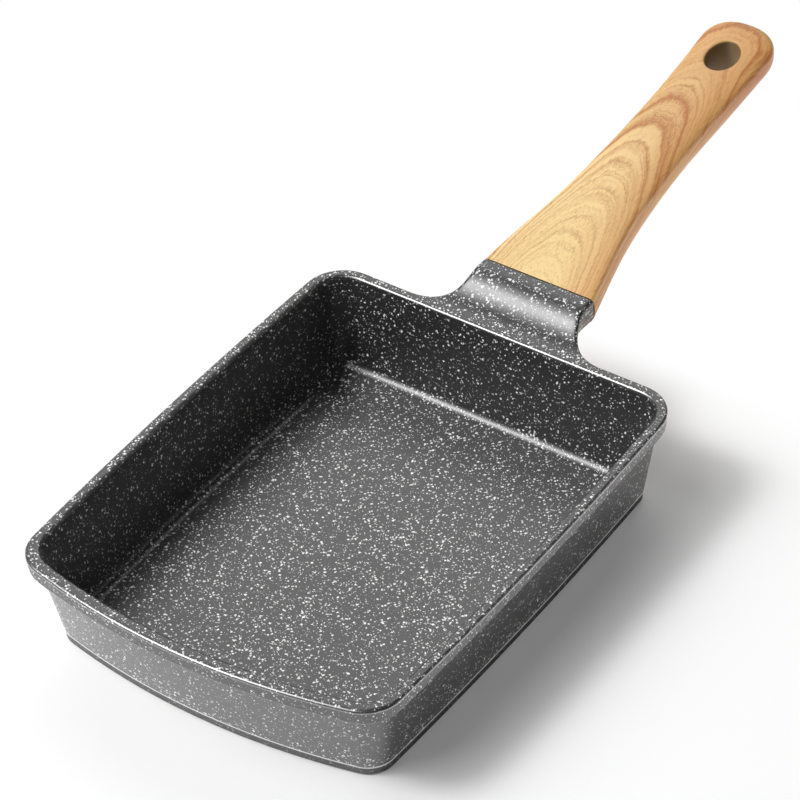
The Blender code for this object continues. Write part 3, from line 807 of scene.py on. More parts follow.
def add_object(name: str, data: bpy.types.ID) -> bpy.types.Object:
    """Put a mesh, a lamp or a camera in the scene.

    Args:
        name: The object's name.
        data: What it shows.

    Returns:
        The object.
    """
    made = bpy.data.objects.new(name, data)
    bpy.context.scene.collection.objects.link(made)
    return made


def baked(made: bpy.types.Object, helpers: Sequence[bpy.types.Object] = ()) -> bpy.types.Mesh:
    """Apply an object's modifiers and take it out of the scene.

    Args:
        made: The object.
        helpers: Objects that its modifiers use, which go too.

    Returns:
        The resulting plain mesh.
    """
    bpy.context.view_layer.update()
    graph = bpy.context.evaluated_depsgraph_get()
    result = bpy.data.meshes.new_from_object(made.evaluated_get(graph))
    for item in [made, *helpers]:
        bpy.data.objects.remove(item, do_unlink=True)
    return result


def dress(node: str, mesh: bpy.types.Mesh, materials: Sequence[bpy.types.Material],
          crease: float = 35.0) -> bpy.types.Object:
    """Put a finished mesh in the scene as the visible piece of a solid.

    Args:
        node: The solid's node, which also names the record's material slot.
        mesh: Its mesh, placed in the shared frame.
        materials: Its materials, in the order of its slots.
        crease: The angle over which an edge is sharp, in degrees.

    Returns:
        The piece.
    """
    made = add_object(f"{node}_looks", mesh)
    slots = [face.material_index for face in mesh.polygons]
    mesh.materials.clear()
    for material in materials:
        mesh.materials.append(material)
    mesh.polygons.foreach_set("material_index", slots)
    mesh.shade_smooth()
    mesh.set_sharp_from_angle(angle=math.radians(crease))
    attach(made, "root")
    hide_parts(node)
    log.info("%s: %d faces", made.name, len(mesh.polygons))
    return made


def cut(target: bpy.types.Mesh, tools: Sequence[tuple[bpy.types.Mesh, str]]) -> bpy.types.Mesh:
    """Join or cut a mesh with others by exact booleans.

    Args:
        target: The mesh to change.
        tools: Each other mesh with its operation.

    Returns:
        A new plain mesh.
    """
    made = add_object("cut", target)
    helpers = []
    for mesh, operation in tools:
        helpers.append(add_object("tool", mesh))
        modifier = made.modifiers.new(operation, "BOOLEAN")
        modifier.operation = operation
        modifier.solver = "EXACT"
        modifier.object = helpers[-1]
    return baked(made, helpers)


# The casting

@dataclass
class Neck:
    """The flared neck that carries the grip, from the rim's rear edge to the joint."""

    root_y: float = 0.0873
    rim_height: float = 0.0368
    length: float = 0.0209
    rise: float = 0.0069
    half_width: float = 0.0215
    spread: float = 0.0006
    flare_width: float = 0.0145
    flare_length: float = 0.0148
    crown: float = 0.0018
    web: float = 0.0034
    joint_depth: float = 0.0170
    socket_length: float = 0.0115
    climb_start: float = 0.0003
    climb_foot: float = 0.0095
    climb_head: float = 0.0079
    joint_tilt: float = math.atan(0.249)
    edge_round: float = 0.0009
    joint_shoulder: Point2 = (0.0020, 0.0013)
    plate_edge: float = 0.0004
    low_edge: float = 0.0003
    low_edge_part: float = 0.4
    thinning: float = 0.7
    under_fullness: Point2 = (3.4, 2.7)
    boxy_part: float = 0.45
    root_start: float = 0.985
    across_steps: int = 40
    flare_steps: int = 22
    body_steps: int = 16
    end_round: float = 0.0002

    @property
    def root_half_width(self) -> float:
        """Half the width at the rim, flare included."""
        return self.half_width + self.spread + self.flare_width

    def distances(self) -> list[float]:
        """Where the cross-sections are.

        Returns:
            Distances behind the rim, closest together where the flare turns.
        """
        flare = [self.flare_length * (1 - math.cos(math.pi / 2 * i / self.flare_steps))
                 for i in range(1, self.flare_steps)]
        rest = [blend(self.flare_length, self.length - self.end_round, i / self.body_steps)
                for i in range(self.body_steps + 1)]
        return flare + rest + [self.length]

    def outline(self, distance: float) -> tuple[float, Point2]:
        """The neck's side in plan.

        Args:
            distance: How far behind the rim.

        Returns:
            Half the width there, and the plan direction that faces outwards.
        """
        left = max(self.flare_length - distance, 0.0) / self.flare_length
        fall = math.sqrt(max(1 - left * left, 0.0))
        width = self.half_width + self.spread * (1 - distance / self.length) + self.flare_width * (1 - fall)
        if fall < 1e-6:
            return width, (0.0, 1.0)
        slope = -self.spread / self.length - self.flare_width / self.flare_length * left / fall
        size = math.hypot(1.0, slope)
        return width, (1.0 / size, -slope / size)

    def height(self, distance: float) -> float:
        """Height of the neck's widest line: a short steep climb that starts and ends level.

        Args:
            distance: How far behind the rim.

        Returns:
            The height.
        """
        length = self.climb_foot + self.climb_head
        into = min(max(distance - self.climb_start, 0.0), length)
        climb = into ** 2 / (self.climb_foot * length)
        if into > self.climb_foot:
            climb = 1 - (length - into) ** 2 / (self.climb_head * length)
        return self.rim_height - self.crown + self.rise * climb

    def depth(self, distance: float) -> float:
        """Depth of the underside, which swells into the boss before the grip.

        Args:
            distance: How far behind the rim.

        Returns:
            The depth.
        """
        into = (distance - self.length + self.socket_length) / self.socket_length
        swell = math.sqrt(max(1 - (1 - max(into, 0.0)) ** 2, 0.0))
        return blend(self.web, self.joint_depth, swell)


def under_drop(share: float, fullness: float, start: float) -> float:
    """How far a rounded underside has dropped, from 0 at its edge to 1 in the middle.

    Args:
        share: Place across, 1 at the edge and 0 in the middle.
        fullness: 2 for an ellipse, more for a boxier shape.
        start: The share of a full half shape at which the edge lies, just under 1.

    Returns:
        The drop.
    """
    edge = max(1 - start ** fullness, 0.0) ** (1 / fullness)
    here = max(1 - (abs(share) * start) ** fullness, 0.0) ** (1 / fullness)
    return (here - edge) / (1 - edge)


@dataclass
class PanBody:
    """The casting: vessel with its rim band, neck, socket boss, tang and the studs under its foot."""

    coating: bpy.types.Material
    stud_metal: bpy.types.Material
    neck: Neck
    rim_width: float = 0.1428
    side_radius: float = 1.99
    widest_y: float = -0.0098
    rear_reach: float = 0.0873
    front_reach: float = 0.0866
    front_width: float = 0.140
    front_bow: float = 0.0102
    rear_corner: float = 0.01425
    rear_foot_corner: float = 0.0070
    front_corner: float = 0.0138
    front_foot_corner: float = 0.0095
    height: float = 0.0368
    rim_round: float = 0.0010
    inner_round: float = 0.0012
    shy: float = 0.00002
    band_height: float = 0.0065
    band_draft: float = 0.0006
    band_lean: float = 6.0
    band_step: float = 0.0026
    band_fillet: float = 0.6
    wall_taper: float = 0.0046
    wall_top: float = 0.0022
    wall_foot: float = 0.0036
    floor_height: float = 0.0042
    floor_fillet: float = 0.0042
    plinth_height: float = 0.0030
    plinth_step: float = 0.0003
    plinth_round: float = 0.0005
    smallest_corner: float = 0.0020
    recess_margin: float = 0.0077
    recess_depth: float = 0.0013
    recess_edge: float = 0.00015
    loop_gap: float = 0.0012
    outer_loops: Point2 = (0.012, 0.020)
    inner_loops: Point2 = (0.026, 0.016)
    upright: float = 0.3
    front_steps: int = 56
    corner_steps: int = 18
    side_steps: int = 14

    def share_down(self, height: float) -> float:
        """A height's place on the wall, from 0 under the band to 1 at the foot."""
        top = self.height - self.band_height
        return (top - height) / (top - self.plinth_height)

    def wall_inset(self, height: float) -> float:
        """How far the outer wall is inside the rim's outline."""
        return self.band_draft + self.band_step + self.wall_taper * self.share_down(height)

    def inner_inset(self, height: float) -> float:
        """How far the inner wall is inside the rim's outline."""
        return self.wall_inset(height) + blend(self.wall_top, self.wall_foot, self.share_down(height))

    def corner(self, inset: float, at_rim: float, at_foot: float) -> float:
        """A plan corner's radius at an inset."""
        return max(blend(at_rim, at_foot, inset / self.wall_inset(self.plinth_height)), self.smallest_corner)

    def rear_columns(self) -> list[float]:
        """Places across the rear edge, from right to left, that the neck's rows meet."""
        half = self.neck.root_half_width
        steps = self.neck.across_steps
        return [half * (1 - 2 * i / steps) for i in range(steps + 1)]

    def outline(self, inset: float) -> list[Point2]:
        """The plan outline moved in by inset, from the front edge's left end round by the right.

        Args:
            inset: How far inside the rim's outline it lies.

        Returns:
            Its points, always equally many.
        """
        inset = inset + self.shy
        rear = self.corner(inset, self.rear_corner, self.rear_foot_corner)
        front = self.corner(inset, self.front_corner, self.front_foot_corner)
        side = (self.rim_width / 2 - inset - self.side_radius, self.widest_y)
        half = self.front_width / 2 - inset
        bow = self.front_bow * (2 * half / self.front_width) ** 2
        radius = (half * half + bow * bow) / (2 * bow)
        bow_centre = (0.0, radius - bow - self.front_reach + inset)
        front_centre = circles_meet(side, self.side_radius - front, bow_centre, radius - front)
        rear_y = self.rear_reach - inset - rear
        reach = math.sqrt((self.side_radius - rear) ** 2 - (rear_y - self.widest_y) ** 2)
        rear_centre = (side[0] + reach, rear_y)
        bow_end, side_start, side_end = (heading(a, b) for a, b in (
            (bow_centre, front_centre), (side, front_centre), (side, rear_centre)))
        edge = arc(front_centre, front, bow_end, side_start, self.corner_steps)[:-1]
        edge += arc(side, self.side_radius, side_start, side_end, self.side_steps)[:-1]
        edge += arc(rear_centre, rear, side_end, 90.0, self.corner_steps)
        points = arc(bow_centre, radius, -180 - bow_end, bow_end, self.front_steps)[1:-1] + edge
        points += [(x, self.rear_reach - inset) for x in self.rear_columns()]
        return points + [(-x, y) for x, y in reversed(edge)]

    def rear_start(self) -> int:
        """The outline's index of the neck's first column."""
        return self.front_steps + 2 * self.corner_steps + self.side_steps

    def side_levels(self) -> list[Point2]:
        """The band's outside.

        Returns:
            (inset, height) points, from the rim's top edge down to under the band.
        """
        foot = self.height - self.band_height
        r = self.rim_round
        points = arc((r, self.height - r), r, 90.0, 180.0, 5)
        points += [(self.band_draft * 0.5, self.height - self.band_height * 0.5)]
        return points + arc((self.band_draft + r, foot + r), r, 180.0, 270.0, 4)

    def foot_levels(self) -> list[Point2]:
        """The foot and the outer wall.

        Returns:
            (inset, height) points, from the recess under the foot up to under the band.
        """
        wall, r, small = self.wall_inset(self.plinth_height), self.plinth_round, self.recess_edge
        foot = wall + self.plinth_step
        recess = foot + self.recess_margin
        points = [(recess + 0.001, self.recess_depth), (recess, self.recess_depth), (recess, small),
                  (recess - small, 0.0), (foot + r + 0.0006, 0.0)]
        points += arc((foot + r, r), r, 270.0, 180.0, 5)
        points += [(foot, self.plinth_height - self.plinth_step - 0.0001),
                   (foot - 0.00005, self.plinth_height - self.plinth_step)]
        points += [(wall + 0.00006, self.plinth_height), (wall, self.plinth_height + small)]
        top = self.height - self.band_height
        fillet = self.band_step * self.band_fillet
        loops = (self.plinth_height + self.loop_gap, *self.outer_loops, top - 2.2 * fillet)
        points += [(self.wall_inset(z), z) for z in loops]
        start = self.wall_inset(top - fillet)
        return points + arc((start - fillet, top - fillet), fillet, 0.0, 84.0, 7)

    def inner_levels(self) -> list[Point2]:
        """The rim's top and the inner wall.

        Returns:
            (inset, height) points, over the rim's top and down to the cooking surface.
        """
        r = self.inner_round
        land = self.inner_inset(self.height)
        points = [(self.rim_round + 0.0003, self.height), (land - r - 0.0003, self.height)]
        points += arc((land - r, self.height - r), r, 90.0, 0.0, 6)
        slope = math.atan2(self.inner_inset(self.floor_height) - land, self.height - self.floor_height)
        reach = self.floor_fillet * math.tan((math.pi / 2 - slope) / 2)
        centre = (self.inner_inset(self.floor_height) + reach, self.floor_height + self.floor_fillet)
        fillet = arc(centre, self.floor_fillet, 180.0 + math.degrees(slope), 270.0, 12)
        loops = (self.height - 0.0019, *self.inner_loops, fillet[0][1] + self.loop_gap)
        points += [(self.inner_inset(z), z) for z in loops]
        return points + fillet + [(centre[0] + 0.0006, self.floor_height)]

    def _vessel(self, maker: MeshMaker) -> list[Ring]:
        """Loft the vessel, leaving the band open where the neck joins.

        Args:
            maker: Takes the points and faces.

        Returns:
            The rows of points beside the opening, from the rim's top edge down.
        """
        foot, side, inner = self.foot_levels(), self.side_levels(), self.inner_levels()
        levels = foot + side[::-1] + inner
        rows = [maker.ring([(x, y, z) for x, y in self.outline(inset)]) for inset, z in levels]
        first, last = len(foot), len(foot) + len(side) - 1
        start, end = self.rear_start(), self.rear_start() + self.neck.across_steps
        for i, (low, high) in enumerate(zip(rows, rows[1:])):
            open_here = first <= i < last
            maker.skin(low, high, skip=(lambda k: start <= k < end) if open_here else None)
        maker.cap(rows[0])
        maker.cap(rows[-1])
        return [row[start:end + 1] for row in rows[first:last + 1]][::-1]

    def _neck_section(self, distance: float) -> list[Vector]:
        """One cross-section of the neck, in the order of the opening's border.

        Args:
            distance: How far behind the rim it lies.

        Returns:
            Its points: across the top, down the left, across the underside, up the right.
        """
        neck = self.neck
        share = distance / neck.length
        width, (out_x, out_y) = neck.outline(distance)
        growth = ease(share)
        round_x = blend(neck.edge_round, neck.joint_shoulder[0], growth)
        round_z = blend(neck.edge_round, neck.joint_shoulder[1], growth)
        low = blend(-(self.band_height - neck.crown), -neck.plate_edge, share ** neck.thinning)
        edge = blend(self.rim_round, neck.low_edge, min(share / neck.low_edge_part, 1.0))
        draft = self.band_draft * (1 - growth)
        side = [(round_x * (1 + x), neck.crown - round_z * (1 - z))
                for x, z in arc((0.0, 0.0), 1.0, 90.0, 180.0, 5)]
        side += [(draft * 0.5, blend(neck.crown - round_z, low, 0.55))]
        side += [(draft + edge * (1 + x), low + edge * (1 + z))
                 for x, z in arc((0.0, 0.0), 1.0, 180.0, 270.0, 4)]
        depth = max(neck.depth(distance), -low + 0.0001)
        fullness = blend(*neck.under_fullness, ease((share - neck.boxy_part) / (1 - neck.boxy_part)))
        shrink = neck.end_round if distance == neck.length else 0.0

        def point(sign: int, inset: float, rise: float, across: float | None = None) -> Vector:
            """A point of the section, an inset from its side or at a place across."""
            x = sign * (width - out_x * (inset + shrink)) if across is None else across
            along = distance - out_y * (inset + shrink)
            tilt = neck.joint_tilt * ease(along / neck.length)
            level = rise - (shrink if rise > 0 else -shrink)
            return Vector((x, neck.root_y + along - math.sin(tilt) * level,
                           neck.height(along) + math.cos(tilt) * level))

        steps = neck.across_steps
        top_end = width - out_x * (side[0][0] + shrink)
        top = [point(1, side[0][0], side[0][1], top_end * (1 - 2 * i / steps)) for i in range(steps + 1)]
        left = [point(-1, inset, rise) for inset, rise in side[1:]]
        right = [point(1, inset, rise) for inset, rise in side[1:]]
        low_end = width - out_x * (side[-1][0] + shrink)
        under = []
        for i in range(1, steps):
            even, bunched = 2 * i / steps - 1, -math.cos(math.pi * i / steps)
            place = blend(even, bunched, growth)
            drop = under_drop(place, fullness, blend(neck.root_start, 1.0, growth)) * (depth + low)
            under.append(point(1, side[-1][0], low - drop, place * low_end))
        return top + left + under + right[::-1]

    def _neck(self, maker: MeshMaker, border: list[Ring]) -> None:
        """Loft the neck from the opening in the band to the joint.

        Args:
            maker: Takes the points and faces.
            border: The rows of points beside the opening, from the rim's top edge down.
        """
        left = [row[-1] for row in border[1:]]
        right = [row[0] for row in border[1:]]
        start = border[0] + left + border[-1][::-1][1:-1] + right[::-1]
        rings = [start] + [maker.ring(self._neck_section(distance)) for distance in self.neck.distances()]
        maker.sleeve(rings)
        maker.cap(rings[-1])

    def mesh(self) -> bpy.types.Mesh:
        """Build the whole casting but its tang and studs.

        Returns:
            The mesh.
        """
        maker = MeshMaker()
        self._neck(maker, self._vessel(maker))
        return maker.finish("pan_body_looks")

    def build(self, tang: "Tang", studs: bpy.types.Mesh) -> bpy.types.Object:
        """Join the casting with its tang and studs and put it in the scene.

        Args:
            tang: The bar inside the grip.
            studs: The studs under the foot.

        Returns:
            The piece.
        """
        casting = cut(self.mesh(), [(tang.bar("tang"), "UNION"), (tang.bore(), "DIFFERENCE")])
        shape = bmesh.new()
        shape.from_mesh(casting)
        for face in shape.faces:
            face.material_index = 0
        count = len(shape.faces)
        shape.from_mesh(studs)
        shape.faces.ensure_lookup_table()
        for face in shape.faces[count:]:
            face.material_index = 1
        shape.to_mesh(casting)
        shape.free()
        made = dress("pan_body", casting, [self.coating, self.stud_metal])
        self._dome_band(made.data)
        return made

    def _dome_band(self, mesh: bpy.types.Mesh) -> None:
        """Shade the band's outer face as slightly domed, facing a little upwards.

        Args:
            mesh: The finished casting.
        """
        low, high = self.height - self.band_height + self.rim_round, self.height - self.rim_round
        lift = math.tan(math.radians(self.band_lean))
        normals = [corner.vector.copy() for corner in mesh.corner_normals]
        for face in mesh.polygons:
            place, out = face.center, face.normal
            outside = out.x * place.x + out.y * place.y > 0 and abs(out.z) < self.upright
            if outside and low < place.z < high and place.y < self.rear_reach:
                for corner in face.loop_indices:
                    flat = Vector((normals[corner].x, normals[corner].y, 0.0)).normalized()
                    normals[corner] = (flat + Vector((0.0, 0.0, lift))).normalized()
        mesh.normals_split_custom_set(normals)


# The base

@dataclass
class BasePlate:
    """The perforated steel plate in the foot, and the casting's studs in its holes."""

    steel: bpy.types.Material
    margin: float = 0.0080
    thickness: float = 0.0010
    hole: float = 0.0050
    pitch: float = 0.0170
    plain_centre: float = 0.0120
    gap: float = 0.0003
    stud_length: float = 0.0015
    stud_taper: float = 0.94
    hole_steps: int = 28
    columns: int = 15
    rows: int = 21

    def _lattice(self, tree: GeometryTree) -> Value:
        """Add nodes that make staggered rows of points, with none in the middle or near the edge.

        Args:
            tree: The tree.

        Returns:
            The points.
        """
        given, pitch = tree.given, tree.given["Pitch"]
        row_pitch = pitch * (math.sqrt(3) / 2)
        grid = tree.node("GeometryNodeMeshGrid", {}, {
            "Size X": pitch * float(self.columns - 1), "Size Y": row_pitch * float(self.rows - 1),
            "Vertices X": self.columns, "Vertices Y": self.rows}, "Mesh")
        place = tree.node("GeometryNodeInputPosition", {}, {})
        x, y = tree.axis(place, "X"), tree.axis(place, "Y")
        odd = abs((y / row_pitch).rounded()) % 2.0
        moved = tree.node("GeometryNodeSetPosition", {},
                          {"Geometry": grid, "Offset": tree.join(odd * 0.5 * pitch, 0.0, 0.0)})
        reach = tree.node("ShaderNodeVectorMath", {"operation": "LENGTH"}, {0: place}, "Value")
        far = abs(x).above(given["Across"]).larger(abs(y).above(given["Along"]))
        left_out = far.larger(given["Plain Centre"].above(reach))
        return tree.node("GeometryNodeDeleteGeometry", {"domain": "POINT"},
                         {"Geometry": moved, "Selection": left_out})

    def _edge(self, body: PanBody) -> float:
        """How far the plate's edge is inside the rim's outline."""
        return body.wall_inset(body.plinth_height) + body.plinth_step + self.margin

    def _tree(self, name: str, body: PanBody) -> GeometryTree:
        """A tree with the sizes of the plate and its studs.

        Args:
            name: The tree's name.
            body: The casting, which gives the outline.

        Returns:
            The tree.
        """
        edge = self._edge(body) + self.hole
        return GeometryTree(name, {
            "Pitch": self.pitch, "Across": body.front_width / 2 - edge + 1e-6,
            "Along": body.front_reach - edge,
            "Plain Centre": self.plain_centre, "Hole Radius": self.hole / 2, "Thickness": self.thickness,
            "Gap": self.gap, "Stud Length": self.stud_length})

    def build(self, body: PanBody) -> bpy.types.Object:
        """Make the perforated plate.

        Args:
            body: The casting, which gives the outline.

        Returns:
            The piece.
        """
        border = body.outline(self._edge(body))
        start = bpy.data.meshes.new("plate_outline")
        count = len(border)
        start.from_pydata([(x, y, 0.0) for x, y in border], [(i, (i + 1) % count) for i in range(count)], [])
        tree = self._tree("perforated_sheet", body)
        given = tree.given
        circle = tree.node("GeometryNodeCurvePrimitiveCircle", {},
                           {"Radius": given["Hole Radius"], "Resolution": self.hole_steps})
        circles = tree.copies(self._lattice(tree), circle)
        edge = tree.node("GeometryNodeMeshToCurve", {}, {"Mesh": given["Geometry"]})
        sheet = tree.node("GeometryNodeFillCurve", {}, {"Curve": tree.joined(circles, edge)})
        raised = tree.node("GeometryNodeExtrudeMesh", {},
                           {"Mesh": sheet, "Offset Scale": given["Thickness"], "Individual": False}, "Mesh")
        under = tree.node("GeometryNodeFlipFaces", {}, {"Mesh": sheet})
        merged = tree.node("GeometryNodeMergeByDistance", {},
                           {"Geometry": tree.joined(raised, under), "Distance": 0.000001})
        return dress("induction_plate", tree.run(start, merged, self.steel), [self.steel])

    def studs(self, body: PanBody) -> bpy.types.Mesh:
        """Make the studs, flush with the plate.

        Args:
            body: The casting, which gives the outline.

        Returns:
            The studs.
        """
        tree = self._tree("studs", body)
        radius = tree.given["Hole Radius"] - tree.given["Gap"]
        stud = tree.node("GeometryNodeMeshCone", {}, {
            "Vertices": self.hole_steps, "Radius Top": radius, "Radius Bottom": radius * self.stud_taper,
            "Depth": tree.given["Stud Length"]}, "Mesh")
        start = bpy.data.meshes.new("stud_start")
        start.from_pydata([(0.0, 0.0, 0.0)], [], [])
        return tree.run(start, tree.copies(self._lattice(tree), stud), self.steel)


# The grip and what holds it

@dataclass
class GripAxis:
    """The grip's widest line, from the joint to the tip."""

    start: Point2 = (0.1082, 0.0419)
    length: float = 0.1358
    rise: float = 0.0196
    start_slope: float = 0.249
    end_slope: float = 0.197

    def at(self, share: float) -> tuple[Point2, float]:
        """A point of the line.

        Args:
            share: Its place, as a share of the length.

        Returns:
            The point's (y, z), and the slope's angle there.
        """
        t, start, end = share, self.start_slope * self.length, self.end_slope * self.length
        rise = hermite(t, 0.0, start, self.rise, end)
        pitch = (3 * t ** 2 - 4 * t + 1) * start + 6 * (t - t ** 2) * self.rise + (3 * t ** 2 - 2 * t) * end
        return (self.start[0] + t * self.length, self.start[1] + rise), math.atan2(pitch, self.length)


@dataclass
class Tang:
    """The casting's bar inside the grip, and the place of its screw."""

    axis: GripAxis
    start: float = -0.0024
    length: float = 0.0420
    width: float = 0.0150
    thickness: float = 0.0060
    drop: float = 0.0036
    taper: float = 0.7
    chamfer: float = 0.0015
    screw_setback: float = 0.0250
    bore_radius: float = 0.0027
    bore_steps: int = 40

    def frame(self) -> Matrix:
        """Find the tang's place.

        Returns:
            Local Y along the tang, local Z up through it.
        """
        centre, tilt = self.axis.at(0.0)
        far, _ = self.axis.at(self.length / self.axis.length)
        slope = math.atan2(far[1] - centre[1], far[0] - centre[0])
        drop = Matrix.Rotation(tilt, 4, "X") @ Vector((0.0, 0.0, -self.drop))
        return Matrix.Translation(Vector((0.0, *centre)) + drop) @ Matrix.Rotation(slope, 4, "X")

    def screw_frame(self) -> Matrix:
        """Local Z along the screw, from the middle of the tang."""
        return self.frame() @ Matrix.Translation((0.0, self.screw_setback, 0.0))

    def bar(self, name: str, growth: float = 0.0) -> bpy.types.Mesh:
        """Make the tapering bar with its chamfered corners.

        Args:
            name: The mesh's name.
            growth: How much larger it is at the sides and the end.

        Returns:
            The bar.
        """
        place = self.frame()
        ends = []
        for distance in (self.start, self.length + growth):
            share = max(distance, 0.0) / self.length
            half = self.width / 2 * blend(1.0, self.taper, share) + growth
            tall = self.thickness / 2 + growth
            corners = [(half - self.chamfer, tall), (half, tall - self.chamfer)]
            corners += [(x, -z) for x, z in corners[::-1]]
            corners += [(-x, z) for x, z in corners[::-1]]
            ends.append([place @ Vector((x, distance, z)) for x, z in corners])
        return MeshMaker().bar(name, ends)

    def bore(self) -> bpy.types.Mesh:
        """Make the tapped hole through the tang.

        Returns:
            The hole's cylinder.
        """
        place = self.screw_frame()
        circle = arc((0.0, 0.0), self.bore_radius, 0.0, 360.0, self.bore_steps)[:-1]
        ends = [[place @ Vector((x, y, z)) for x, y in circle] for z in (-self.thickness, self.thickness)]
        return MeshMaker().bar("bore", ends)


@dataclass
class Grip:
    """The moulded grip: film-covered outside, hanging hole, screw well and the socket for the tang."""

    film: bpy.types.Material
    core: bpy.types.Material
    axis: GripAxis
    tang: Tang
    neck: Neck
    half_widths: tuple[float, ...] = (0.0215, 0.0153, 0.0131, 0.0130, 0.0142)
    crowns: tuple[float, ...] = (0.0018, 0.0030, 0.0038, 0.0041, 0.0043)
    depths: tuple[float, ...] = (0.0170, 0.0151, 0.0124, 0.0128, 0.0120)
    shy: float = 0.00008
    farthest: float = 0.24438
    top_fullness: float = 2.4
    top_blend: float = 0.4
    under_fullness: Point2 = (2.7, 2.3)
    seam_blend: float = 0.25
    seam_lift: float = 6.0
    side_part: float = 0.15
    shoulder_part: float = 0.45
    tip_power: float = 2.2
    tip_plan_round: float = 0.0124
    tip_side_round: float = 0.0062
    last_shares: Point2 = (0.9993, 0.9995)
    gap: float = 0.0003
    end_round: float = 0.00025
    end_middle: Point2 = (0.35, 0.3)
    seam_depth: float = 0.00012
    hang_setback: float = 0.0192
    hang_half: Point2 = (0.0057, 0.0073)
    hang_flare: float = 0.0010
    well_radius: float = 0.0053
    well_flare: float = 0.0006
    seat_thickness: float = 0.0030
    block_spare: float = 0.0014
    hang_spare: float = 0.0022
    well_spare: float = 0.0016
    well_step: float = 0.0005
    well_rounds: int = 8
    around_steps: int = 48
    along_steps: int = 150
    tip_steps: int = 26
    collar_steps: int = 5
    flare_steps: int = 9
    lining_steps: int = 6
    crease: float = 40.0

    def sizes(self, share: float) -> tuple[float, float, float]:
        """The grip's size at a place, tip rounding included.

        Args:
            share: The place, as a share of the length.

        Returns:
            Its half width, crown and depth.
        """
        plan = 1 - self.tip_plan_round / self.axis.length
        side = 1 - self.tip_side_round / self.axis.length
        in_plan = clamp((share - plan) / (1 - plan))
        in_height = clamp((share - side) / (1 - side))
        narrow = (1 - in_plan ** self.tip_power) ** (1 / self.tip_power)
        flat = math.sqrt(1 - in_height ** 2)
        return ((read_row(self.half_widths, share) - self.shy) * narrow,
                (read_row(self.crowns, share) - self.shy) * flat,
                (read_row(self.depths, share) - self.shy) * flat)

    def place(self, share: float, x: float, rise: float) -> Vector:
        """The point at a share of the length, a place across and a rise over the widest line."""
        (y, z), tilt = self.axis.at(share)
        return Vector((x, y - math.sin(tilt) * rise, z + math.cos(tilt) * rise))

    def top_rise(self, share: float, x: float) -> float:
        """Height of the upper face over the widest line, where its shape is fully rounded."""
        half, crown, _ = self.sizes(share)
        return crown * (1 - min(abs(x) / half, 1.0) ** self.top_fullness) ** (1 / self.top_fullness)

    def _seam_rise(self, share: float) -> float:
        """Height of the seam along the side over the widest line."""
        seam = blend(-self.neck.plate_edge, 0.0, ease(share / self.seam_blend))
        return seam * self.sizes(share)[1] / read_row(self.crowns, share)

    def under_rise(self, share: float, x: float) -> float:
        """Height of the underside over the widest line.

        Args:
            share: The place, as a share of the length.
            x: The place across.

        Returns:
            The height.
        """
        half, _, depth = self.sizes(share)
        low = self._seam_rise(share)
        place = min(abs(x) / max(half - self.seam_depth, 1e-9), 1.0)
        return low - under_drop(place, blend(*self.under_fullness, ease(share)), 1.0) * (depth + low)

    def _quarter_point(self, u: float, share: float) -> Point2:
        """A point of a cross-section's right upper quarter.

        The quarter starts with the neck's shape, an upright side and a small round shoulder, and turns into
        an even curve along the grip.

        Args:
            u: The point's place, from 0 at the seam to 1 on the top line.
            share: The cross-section's place, as a share of the length.

        Returns:
            The point's (across, rise).
        """
        half, crown, _ = self.sizes(share)
        low = self._seam_rise(share)
        shoulder_x, shoulder_z = self.neck.joint_shoulder
        angle = math.pi / 2 * u
        power = 2 / self.top_fullness
        soft = (half * math.cos(angle) ** power, crown * math.sin(angle) ** power)
        if u < self.side_part:
            hard = (half, blend(low, crown - shoulder_z, u / self.side_part))
        elif u < self.shoulder_part:
            turn = math.pi / 2 * (u - self.side_part) / (self.shoulder_part - self.side_part)
            hard = (half - shoulder_x * (1 - math.cos(turn)), crown - shoulder_z * (1 - math.sin(turn)))
        else:
            hard = (blend(half - shoulder_x, 0.0, (u - self.shoulder_part) / (1 - self.shoulder_part)), crown)
        soft = (soft[0], blend(low, 0.0, min(u * self.seam_lift, 1.0)) + soft[1])
        rounding = ease(share / self.top_blend)
        return blend(hard[0], soft[0], rounding), blend(hard[1], soft[1], rounding)

    def section(self, share: float) -> list[Point2]:
        """A cross-section.

        Args:
            share: Its place, as a share of the length.

        Returns:
            Its (across, rise) points, from the right seam over the top to the left and back below.
        """
        half, low, steps = self.sizes(share)[0], self._seam_rise(share), self.around_steps
        quarter = [self._quarter_point(i / (steps // 2), share) for i in range(steps // 2 + 1)]
        top = quarter + [(-x, z) for x, z in quarter[-2::-1]]
        under = []
        inner = half - min(self.seam_depth, half / 2)
        for i in range(steps + 1):
            x = -inner * math.cos(math.pi * i / steps)
            under.append((x, self.under_rise(share, x) if share < 0.99999 else low))
        return top + under

    def shares(self) -> list[float]:
        """Where the cross-sections are.

        Returns:
            Shares of the length, the first ones on the rounded edge at the joint.
        """
        start = self.gap / self.axis.length
        plan = 1 - self.tip_plan_round / self.axis.length
        last, end = self.last_shares
        places = [start, start + self.end_middle[0] * self.end_round / self.axis.length,
                  start + self.end_round / self.axis.length]
        places += [blend(places[-1], plan, i / self.along_steps) for i in range(1, self.along_steps)]
        places += [blend(plan, last, math.sin(math.pi / 2 * i / self.tip_steps))
                   for i in range(self.tip_steps)]
        return places + [end]

